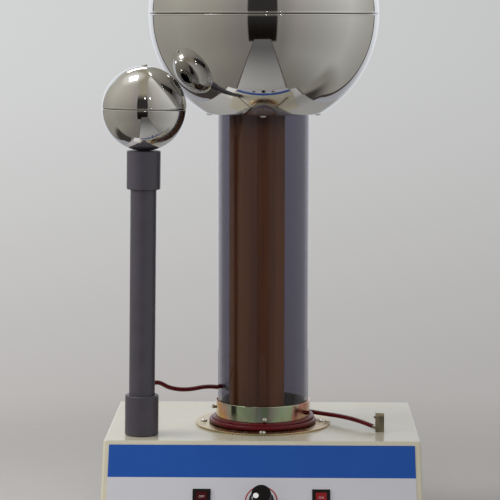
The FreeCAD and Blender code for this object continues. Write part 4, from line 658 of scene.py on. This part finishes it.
# %% Belt, lead and board
tree, shader, point = begin("belt_rubber")
runs = noise(tree, point, mm(9), 3.0, (1, 0.02, 0.02))
weave = add(tree, "ShaderNodeTexWave", {
    "Vector": point, "Scale": 260.0, "Distortion": 0.6, "Detail": 1.0},
    bands_direction="Z").outputs["Fac"]
colours = mix(tree, step(tree, runs, 0.35, 0.65), chart(140, 80, 24), chart(172, 106, 36))
tree.links.new(colours, shader.inputs["Base Color"])
uneven(tree, shader, runs, 0.6, 0.08)
relief(tree, shader, weave, mm(0.03))

grained("lead_red", (86, 11, 20), 0.3, 0.9, 0.006, 8, 0.1, specular_ior_level=0.3)

tree, shader, point = begin("board_green")
traces = add(tree, "ShaderNodeTexBrick", {
    "Vector": point, "Color1": chart(30, 92, 58), "Color2": chart(38, 108, 66),
    "Mortar": chart(70, 138, 84), "Scale": 60.0, "Mortar Size": 0.03}).outputs["Color"]
tree.links.new(traces, shader.inputs["Base Color"])
uneven(tree, shader, noise(tree, point, mm(8), 3.0), 0.3, 0.08)
print("all finishes:", len(FINISH))

# %% [markdown]
# Each solid came with its material slot's name, so handing out the finishes is one loop.

# %% Finish the solids
for name, solid in nodes.items():
    for holder in solid.material_slots:
        holder.material = FINISH[holder.material.name.split(".")[0]]
print("finished", len(nodes), "solids")

# %% [markdown]
# ## Making finer pieces
# A piece that the light tests hard is made again in fine mesh over its solid. piece() gives such a
# mesh its finish, joins the body that it moves with and names the solids that it stands for, which
# are then hidden. skin() and done() turn rings of points into a closed mesh for every later form.

# %% Piece helpers
SOLID_GAP = mm(0.005)  # corners of a solid's triangles that lie closer are one corner


def piece(name, mesh, slot, body, *stands_for, crease, finish=None):
    """A finished mesh as a piece of the generator."""
    mesh.name = name
    mesh.shade_smooth()
    mesh.set_sharp_from_angle(angle=math.radians(crease))
    mesh.materials.clear()
    mesh.materials.append(FINISH[finish or slot])
    made = bpy.data.objects.new(name, mesh)
    scene.collection.objects.link(made)
    if body:
        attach(made, body)
    if stands_for:
        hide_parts(*stands_for)
    print(name, len(mesh.polygons), "faces")
    return made


def merged(mesh, gap):
    """A copy of a mesh, to work on, with its loose triangles joined."""
    work = bmesh.new()
    work.from_mesh(mesh)
    bmesh.ops.remove_doubles(work, verts=work.verts, dist=gap)
    return work


def skin(work, rings):
    """Faces from each ring of vertices to the next; a ring of one vertex is a pole."""
    for first, second in zip(rings, rings[1:]):
        for n in range(max(len(first), len(second))):
            corners = [first[n % len(first)], first[(n + 1) % len(first)],
                       second[(n + 1) % len(second)], second[n % len(second)]]
            corners = list(dict.fromkeys(corners))
            if len(corners) > 2:
                work.faces.new(corners)


def done(work, stand=Matrix.Identity(4)):
    """The worked form as a mesh, stood in its place with its faces turned outward."""
    bmesh.ops.recalc_face_normals(work, faces=work.faces)
    work.transform(stand)
    mesh = bpy.data.meshes.new("form")
    work.to_mesh(mesh)
    work.free()
    return mesh


print("piece helpers ready")

# %% [markdown]
# ## The lead
# A soft dark-red lead leaves the wand through its grommet, sags towards the column, goes twice
# round the collar's foot and runs on to the earth clip. It is one smooth line: a NURBS spline of
# order 3 through a few listed points, with the coil's turns worked out by a loop. The first
# turn hugs the collar and rests on the second, which is wider and lies flat on the flange. A small
# table says how far out and how high the line runs after each share of a turn.

# %% Route of the lead
LEAD = mm(5)
WAND_RUN = [
    (-121.41, -55.82, 54.67), (-115.63, -48.93, 54.6), (-110.4, -42.0, 51.0),
    (-104.0, -33.4, 45.6), (-92.0, -19.5, 40.8),
    (-79.5, -3.0, 38.6), (-66.8, 15.5, 38.2), (-53.5, 33.5, 35.0), (-37.0, 46.5, 29.0),
    (-18.0, 54.9, 20.2), (0.0, 57.8, 13.4), (14.0, 56.6, 10.8),
]
CLIP_RUN = [
    (44.6, 43.0, 6.4), (53.4, 32.0, 7.0), (64.2, 21.0, 7.2), (75.3, 12.0, 7.4), (86.4, 0.8, 7.8),
    (97.2, -12.6, 8.0), (105.6, -24.6, 7.8), (112.4, -33.2, 7.1), (122.2, -43.8, 5.15),
]
TURN_POINTS = 16
COIL_START, COIL_END = 54.0, 62.0 - 720.0
COIL_SHAPE = [  # turns gone, reach from the axis, height over the lid
    (0.0, 55.6, 9.8), (0.3, 55.6, 7.4), (0.78, 55.5, 7.2), (1.0, 55.4, 4.7), (1.22, 59.2, 4.6),
    (1.45, 59.1, 4.6), (1.65, 59.4, 4.6), (1.82, 59.6, 4.6), (1.9, 60.1, 4.7), (1.978, 61.8, 5.4),
]


def coil_points():
    """Nearly two turns clockwise, seen from above, in equal steps of angle."""
    turns, reaches, rises = zip(*COIL_SHAPE)
    count = round((COIL_START - COIL_END) / 360 * TURN_POINTS)
    points = []
    for k in range(count + 1):
        angle = math.radians(COIL_START + (COIL_END - COIL_START) * k / count)
        gone = turns[-1] * k / count
        reach, rise = np.interp(gone, turns, reaches), np.interp(gone, turns, rises)
        points.append((reach * math.cos(angle), reach * math.sin(angle), rise))
    return points


coil = coil_points()
route = [COLUMN_FOOT + mm(*point) for point in WAND_RUN + coil + CLIP_RUN]
print("lead route:", len(WAND_RUN), "+", len(coil), "+", len(CLIP_RUN), "points")

# %% [markdown]
# Blender turns the spline into a fine line of points, and a tube is drawn along them. Its rings
# are carried along without twisting. The run from the wand is a piece of its own; on the real
# machine it bends when the wand is lifted while the coil stays.

# %% Tube along the spline
curve = bpy.data.curves.new("lead_line", "CURVE")
curve.dimensions = "3D"
curve.resolution_u = 8
line = curve.splines.new("NURBS")
line.points.add(len(route) - 1)
for place, spot in zip(line.points, route):
    place.co = (*spot, 1.0)
line.order_u = 3
line.use_endpoint_u = True
holder = bpy.data.objects.new("lead_line", curve)
trace = bpy.data.meshes.new_from_object(holder)
lead_points = [vertex.co.copy() for vertex in trace.vertices]
bpy.data.objects.remove(holder)


def drawn_tube(points, radius, sides=18):
    """A closed tube along a line of points, its rings carried along without twisting."""
    work = bmesh.new()
    heading = (points[1] - points[0]).normalized()
    spoke = heading.orthogonal().normalized()
    rings = []
    for k, centre in enumerate(points):
        ahead = (points[min(k + 1, len(points) - 1)] - points[max(k - 1, 0)]).normalized()
        spoke = heading.rotation_difference(ahead) @ spoke
        heading = ahead
        other = heading.cross(spoke)
        rings.append([work.verts.new(centre + radius * (math.cos(angle) * spoke
                                                        + math.sin(angle) * other))
                      for angle in (math.tau * n / sides for n in range(sides))])
    skin(work, rings)
    work.faces.new(list(reversed(rings[0])))
    work.faces.new(rings[-1])
    return done(work)


join = COLUMN_FOOT + mm(*WAND_RUN[-1])
split = min(range(len(lead_points)), key=lambda k: (lead_points[k] - join).length)
wand_side, clip_side = lead_points[:split + 1], lead_points[split:]

# %% [markdown]
# The run from the wand is joined to no body and stays where it is drawn. The rest of the lead
# stays with the cabinet.

# %% Lead pieces
lead_wand = piece("lead_from_wand", drawn_tube(wand_side, LEAD / 2), "lead_red", None,
                  "lead_wand_run", crease=60)
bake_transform(lead_wand)
lead_coiled = piece("lead_round_collar", drawn_tube(clip_side, LEAD / 2), "lead_red", "generator",
                    "lead_coil", "lead_clip_run", crease=60)

# %% [markdown]
# ## Spun bowls
# A spun bowl is a surface of revolution, so it is a profile and a number of steps round an axis.
# Each profile here is the sheet's real section: outside, rolled lip, inside. Points that sit on
# the axis become one single pole, and the rest of the rings close on themselves.

# %% Lathe
def arc(centre, radius, start, end, count):
    """Points on an arc of a profile, as (reach, height), from one angle to another in degrees."""
    angles = [math.radians(start + (end - start) * k / count) for k in range(count + 1)]
    return [(centre[0] + radius * math.cos(a), centre[1] + radius * math.sin(a)) for a in angles]


def lathe(profile, steps, stand, closed=False):
    """A profile in millimetres turned about Z and then stood in its place."""
    work = bmesh.new()
    rings = []
    for reach, rise in profile:
        count = 1 if abs(reach) < 1e-6 else steps
        rings.append([work.verts.new(mm(reach * math.cos(math.tau * n / steps),
                                        reach * math.sin(math.tau * n / steps), rise))
                      for n in range(count)])
    skin(work, rings + rings[:1] if closed else rings)
    return done(work, stand)


print("lathe ready")

# %% [markdown]
# Dome and ball are made alike: two bowls that each end in a small rolled bead, with a narrow dark
# gap between the beads. The bead is a little proud of the sphere, so its circle meets the sphere's
# at an angle that the law of cosines gives.

# %% Rolled rims
def rolled_rim(radius, sheet, bend, proud, face, lip):
    """The rim of an upper bowl: its outer arc's start, the profile, its inner arc's end.

    The bead has the radius bend and stands proud of the sphere. Its face is that far over the
    seam, and it ends in a lip that reaches inwards.
    """
    rise = face + bend
    reach = math.sqrt(radius ** 2 - rise ** 2) + proud - bend
    apart, tilt = math.hypot(reach, rise), math.atan2(rise, reach)

    def meeting(sphere, circle):
        """The angle about the bead's centre, and about the bowl's, where the two circles meet."""
        turn = tilt + math.acos((sphere ** 2 - apart ** 2 - circle ** 2) / (2 * circle * apart))
        return (math.degrees(turn),
                math.degrees(math.asin((rise + circle * math.sin(turn)) / sphere)))

    outer_turn, start = meeting(radius, bend)
    inner_turn, end = meeting(radius - sheet, bend - sheet)
    profile = (arc((reach, rise), bend, outer_turn, -90, 14) + [(lip, face), (lip, face + sheet)]
               + arc((reach, rise), bend - sheet, -90, inner_turn, 8))
    return start, profile, end


def bowl(radius, sheet, bead, outside, inside, rows):
    """An upper bowl's section, from an angle on its outside round the rim to one on its inside."""
    start, rim, end = rolled_rim(radius, sheet, **bead)
    return (arc((0, 0), radius, outside, start, rows[0]) + rim
            + arc((0, 0), radius - sheet, end, inside, rows[1]))


def mirrored(profile):
    """The same profile below the seam."""
    return [(reach, -rise) for reach, rise in profile]


print("rolled rims ready")

# %% [markdown]
# The dome's lower bowl also has a flat floor with an eased edge and a hole for the column.

# %% Dome bowls
DOME_RADIUS, SHEET, DOME_STEPS = 127.0, 1.0, 224
DOME_BEAD = dict(bend=1.4, proud=0.25, face=0.2, lip=120.0)
FLOOR_REACH, FLOOR_HOLE = 63.7, 50.95
EDGE_START, EDGE_BEND, EDGE_RISE, EDGE_TURN = 2.4, 0.9, 0.12, 0.55
dome_stand = Matrix.Translation(DOME_MIDDLE)

upper = bowl(DOME_RADIUS, SHEET, DOME_BEAD, 90, 90, (56, 40))
upper[0], upper[-1] = (0, DOME_RADIUS), (0, DOME_RADIUS - SHEET)
floor_drop = math.sqrt(DOME_RADIUS ** 2 - FLOOR_REACH ** 2)
edge = math.degrees(math.asin(floor_drop / DOME_RADIUS))
lower = ([(FLOOR_HOLE, -floor_drop), (FLOOR_REACH - EDGE_START, -floor_drop),
          (FLOOR_REACH - EDGE_BEND, EDGE_RISE - floor_drop)]
         + mirrored(bowl(DOME_RADIUS, SHEET, DOME_BEAD, edge - EDGE_TURN, edge, (48, 40)))
         + [(FLOOR_HOLE, SHEET - floor_drop)])
piece("dome_top_spun", lathe(upper, DOME_STEPS, dome_stand), "dome_chrome", "dome_top",
      "dome_upper_bowl", crease=38)
piece("dome_base_spun", lathe(lower, DOME_STEPS, dome_stand, closed=True), "dome_chrome",
      "generator", "dome_lower_bowl", crease=38)

# %% [markdown]
# The wand's ball leans with the wand, so its halves are stood on the wand's own axis. Its top has
# a hole for the stud and its foot a small flat.

# %% Ball halves
BALL_RADIUS, BALL_CENTRE, BALL_FLAT, STUD_HOLE = 45.85, 356.307, 6.0, 3.2
BALL_BEAD, BALL_STEPS = dict(bend=1.2, proud=0.1, face=0.1, lip=41.0), 160
ball_stand = WAND_STAND @ Matrix.Translation(mm(0, 0, BALL_CENTRE))


def half_ball(hole):
    """The section of half a ball that is open at its pole, with the radius of the hole."""
    angles = [math.degrees(math.acos(hole / radius))
              for radius in (BALL_RADIUS, BALL_RADIUS - SHEET)]
    return bowl(BALL_RADIUS, SHEET, BALL_BEAD, *angles, (44, 28))


flat = math.sqrt(BALL_RADIUS ** 2 - BALL_FLAT ** 2)
base = [(STUD_HOLE, -flat)] + mirrored(half_ball(BALL_FLAT)) + [(STUD_HOLE, SHEET - flat)]
for name, profile, solid in (("ball_top_spun", half_ball(STUD_HOLE), "ball_upper_half"),
                             ("ball_base_spun", base, "ball_lower_half")):
    piece(name, lathe(profile, BALL_STEPS, ball_stand, closed=True), "ball_chrome", "wand", solid,
          crease=38)

# %% [markdown]
# ## The column
# Cast acrylic tube has a perfectly smooth wall, and its thickness shows as two pale bands at the
# edges, where light crosses one wall only. A coarse tube would break those bands up, so it is
# turned in many steps, with both ends eased.

# %% Column
TUBE_OUT, TUBE_IN, TUBE_LENGTH, EASE = 50.8, 46.8, 369.333, 0.3
TUBE_ROWS, TUBE_STEPS = 12, 256
rises = [TUBE_LENGTH * k / TUBE_ROWS for k in range(1, TUBE_ROWS)]
tube_profile = ([(TUBE_IN, 0), (TUBE_OUT, 0)] + [(TUBE_OUT, rise) for rise in rises]
                + [(TUBE_OUT, TUBE_LENGTH - EASE), (TUBE_OUT - EASE, TUBE_LENGTH),
                   (TUBE_IN + EASE, TUBE_LENGTH), (TUBE_IN, TUBE_LENGTH - EASE)]
                + [(TUBE_IN, rise) for rise in reversed(rises)])
tube_stand = Matrix.Translation(mm(0, COLUMN_BACK, LID_TOP + 2.0))
piece("column_smooth", lathe(tube_profile, TUBE_STEPS, tube_stand, closed=True), "smoked_tube",
      "generator", "column_tube", crease=40)

# %% [markdown]
# ## Screws by Geometry Nodes
# Every visible screw is a pan head with a cross recess. The head is made once inside the node
# tree, from a flattened sphere with a cross cut out of it, and is then placed on points that
# carry the screw's direction. Each gets a random turn from a fixed seed, as real ones never line
# up. The seats are measured on the solids themselves, so the screws follow them.

# %% Screw tree
CUTTING_SCALE = 200.0  # the recess is cut at this scale, because a millimetre is small for a cut
SCREW_SIZES = dict(head_radius=3.9, head_height=2.3, shank_radius=2.0, shank_length=2.6,
                   recess_reach=2.1, recess_width=0.9)  # millimetres


def transformed(group, shape, **how):
    """A shape moved or scaled."""
    return add(group, "GeometryNodeTransform", {"Geometry": shape, **how}).outputs[0]


def screw_tree():
    """Pan heads with a cross recess on every point, along the point's axis attribute."""
    group = bpy.data.node_groups.new("pan_head_screws", "GeometryNodeTree")
    for label, way, kind in (("Geometry", "OUTPUT", "Geometry"), ("Geometry", "INPUT", "Geometry"),
                             *((label, "INPUT", "Float") for label in SCREW_SIZES),
                             ("Seed", "INPUT", "Int"), ("Finish", "INPUT", "Material")):
        group.interface.new_socket(label, in_out=way, socket_type="NodeSocket" + kind)
    given = group.nodes.new("NodeGroupInput").outputs
    reach, rise, stem, depth, long, thin = (
        product(group, given[label], CUTTING_SCALE) for label in SCREW_SIZES)
    ball = add(group, "GeometryNodeMeshUVSphere", {"Segments": 36, "Rings": 18, "Radius": 1.0})
    head = transformed(group, ball.outputs[0], Scale=vector(group, X=reach, Y=reach, Z=rise))
    # what is cut away: all below the seat, then the two arms of the cross
    wide = product(group, reach, 3.0)
    block = vector(group, X=wide, Y=wide, Z=product(group, rise, 2.0))
    lowered = vector(group, Z=product(group, rise, -1.0))
    tall, raised = product(group, rise, 1.3), vector(group, Z=rise)
    for size, place in ((block, lowered), (vector(group, X=long, Y=thin, Z=tall), raised),
                        (vector(group, X=thin, Y=long, Z=tall), raised)):
        tool = add(group, "GeometryNodeMeshCube", {"Size": size}).outputs[0]
        tool = transformed(group, tool, Translation=place)
        head = add(group, "GeometryNodeMeshBoolean", {"Mesh 1": head, "Mesh 2": tool},
                   operation="DIFFERENCE").outputs["Mesh"]
    shank = add(group, "GeometryNodeMeshCylinder", {"Vertices": 24, "Radius": stem, "Depth": depth})
    shank = transformed(group, shank.outputs[0],
                        Translation=vector(group, Z=product(group, depth, -0.5)))
    whole = add(group, "GeometryNodeJoinGeometry", {0: head})  # takes more than one link
    group.links.new(shank, whole.inputs[0])
    whole = transformed(group, whole.outputs[0], Scale=(1 / CUTTING_SCALE,) * 3)
    axis = add(group, "GeometryNodeInputNamedAttribute", {"Name": "axis"}, data_type="FLOAT_VECTOR")
    aimed = add(group, "FunctionNodeAlignRotationToVector", {
        "Vector": axis.outputs["Attribute"]}, axis="Z")
    spin = add(group, "FunctionNodeRandomValue", {"Seed": given["Seed"]}, data_type="FLOAT")
    spin = product(group, spin.outputs[1], math.tau)
    twist = add(group, "FunctionNodeAxisAngleToRotation", {"Axis": (0, 0, 1), "Angle": spin})
    turned = add(group, "FunctionNodeRotateRotation", {
        0: aimed.outputs[0], 1: twist.outputs[0]}, rotation_space="LOCAL")
    placed = add(group, "GeometryNodeInstanceOnPoints", {
        "Points": given["Geometry"], "Instance": whole, "Rotation": turned.outputs[0]})
    real = add(group, "GeometryNodeRealizeInstances", {0: placed.outputs[0]})
    coated = add(group, "GeometryNodeSetMaterial", {
        "Geometry": real.outputs[0], "Material": given["Finish"]})
    add(group, "NodeGroupOutput", {0: coated.outputs[0]})
    return group


SCREWS = screw_tree()
print("screw tree with", len(SCREWS.nodes), "nodes")

# %% [markdown]
# A screw is round, so its points spread alike in two directions and differently along its axis.
# That gives the axis, and the end where the mesh is widest is the head.

# %% Find the seats
def islands(work):
    """The separate shells of a merged mesh, as arrays of points, in the order of its corners."""
    left, found = dict.fromkeys(work.verts), []
    while left:
        shell = [next(iter(left))]
        del left[shell[0]]
        for vertex in shell:
            for link in vertex.link_edges:
                other = link.other_vert(vertex)
                if other in left:
                    del left[other]
                    shell.append(other)
        found.append(np.array([vertex.co for vertex in shell]))
    return found


def screw_seats(node, head_height):
    """(seat under the head, axis towards the head) of every screw in one solid."""
    work = merged(nodes[node].data, SOLID_GAP)
    seats = []
    for shell in islands(work):
        low, high = shell.min(0), shell.max(0)
        middle = (low + high) / 2
        values, axes = np.linalg.eigh(np.cov((shell - shell.mean(0)).T))
        odd = 0 if values[1] - values[0] > values[2] - values[1] else 2
        axis = axes[:, odd]
        along = (shell - middle) @ axis
        off = np.linalg.norm((shell - middle) - np.outer(along, axis), axis=1)
        if along[off > off.max() * 0.95].mean() < 0:
            axis, along = -axis, -along
        seat = middle + axis * (along.max() - head_height)
        seats.append((Vector(seat), Vector(axis)))
    work.free()
    return seats


def screwed(name, node, seed, **sizes):
    """The screws of one solid, made by the tree and turned into a plain mesh; sizes in mm."""
    seats = screw_seats(node, mm(SCREW_SIZES["head_height"]))
    mesh = bpy.data.meshes.new(name)
    mesh.from_pydata([seat for seat, _ in seats], [], [])
    axes = mesh.attributes.new("axis", "FLOAT_VECTOR", "POINT")
    axes.data.foreach_set("vector", [value for _, axis in seats for value in axis])
    source = bpy.data.objects.new(name + "_points", mesh)
    scene.collection.objects.link(source)
    modifier = source.modifiers.new("screws", "NODES")
    modifier.node_group = SCREWS
    named = {item.name: item.identifier for item in SCREWS.interface.items_tree
             if item.in_out == "INPUT"}
    modifier[named["Seed"]], modifier[named["Finish"]] = seed, FINISH["zinc_screw"]
    for label, size in (SCREW_SIZES | sizes).items():
        modifier[named[label]] = mm(size)
    ready = source.evaluated_get(bpy.context.evaluated_depsgraph_get())
    heads = bpy.data.meshes.new_from_object(ready)
    bpy.data.objects.remove(source)
    piece(name, heads, "zinc_screw", "generator", node, crease=32)


screwed("flange_pan_heads", "flange_screws", 3)
screwed("collar_pan_heads", "collar_screws", 5, head_radius=2.6, shank_radius=2.2,
        shank_length=3.2, recess_reach=1.8, recess_width=0.6)
screwed("dome_pan_heads", "dome_screws", 8)
screwed("case_pan_heads", "case_screws", 13)

# %% [markdown]
# ## Words on the rockers
# The rockers say OFF and ON. Text is a curve, so it gets a hair's thickness, becomes a mesh and is
# stood on the rocker. Where it stands is found by a ray: it starts out in front of the panel,
# runs back along the panel's normal, and gives the point and the slope of the face that it meets.

# %% Rocker legends
LEGEND_ROW, SWITCH_ASIDE, LEGEND_SIZE, LEGEND_LIFT = mm(66.4), mm(63.6), mm(3.5), mm(0.05)
RAY_START = mm(40)


def legend(name, words, node, body, aside):
    """Raised words on a rocker's face."""
    work = merged(nodes[node].data, SOLID_GAP)
    start = PANEL_EDGE + LEGEND_ROW * DOWN + RAY_START * OUT + Vector((aside, 0, 0))
    place, slope, _, _ = BVHTree.FromBMesh(work).ray_cast(start, -OUT)
    work.free()
    text = bpy.data.curves.new(name, "FONT")
    text.body, text.size, text.extrude = words, LEGEND_SIZE, LEGEND_LIFT
    text.align_x = text.align_y = "CENTER"
    text.resolution_u = 4
    holder = bpy.data.objects.new(name, text)
    work = merged(bpy.data.meshes.new_from_object(holder), mm(0.001))
    bpy.data.objects.remove(holder)
    across = Vector((1, 0, 0))
    stand = Matrix((across, slope.cross(across), slope)).transposed().to_4x4()
    mesh = done(work, Matrix.Translation(place) @ stand)
    piece(name, mesh, "rocker_red", body, crease=30, finish="legend_print")


legend("legend_off", "OFF", "rocker_left", "rocker_left_body", -SWITCH_ASIDE)
legend("legend_on", "ON", "rocker_right", "rocker_right_body", SWITCH_ASIDE)
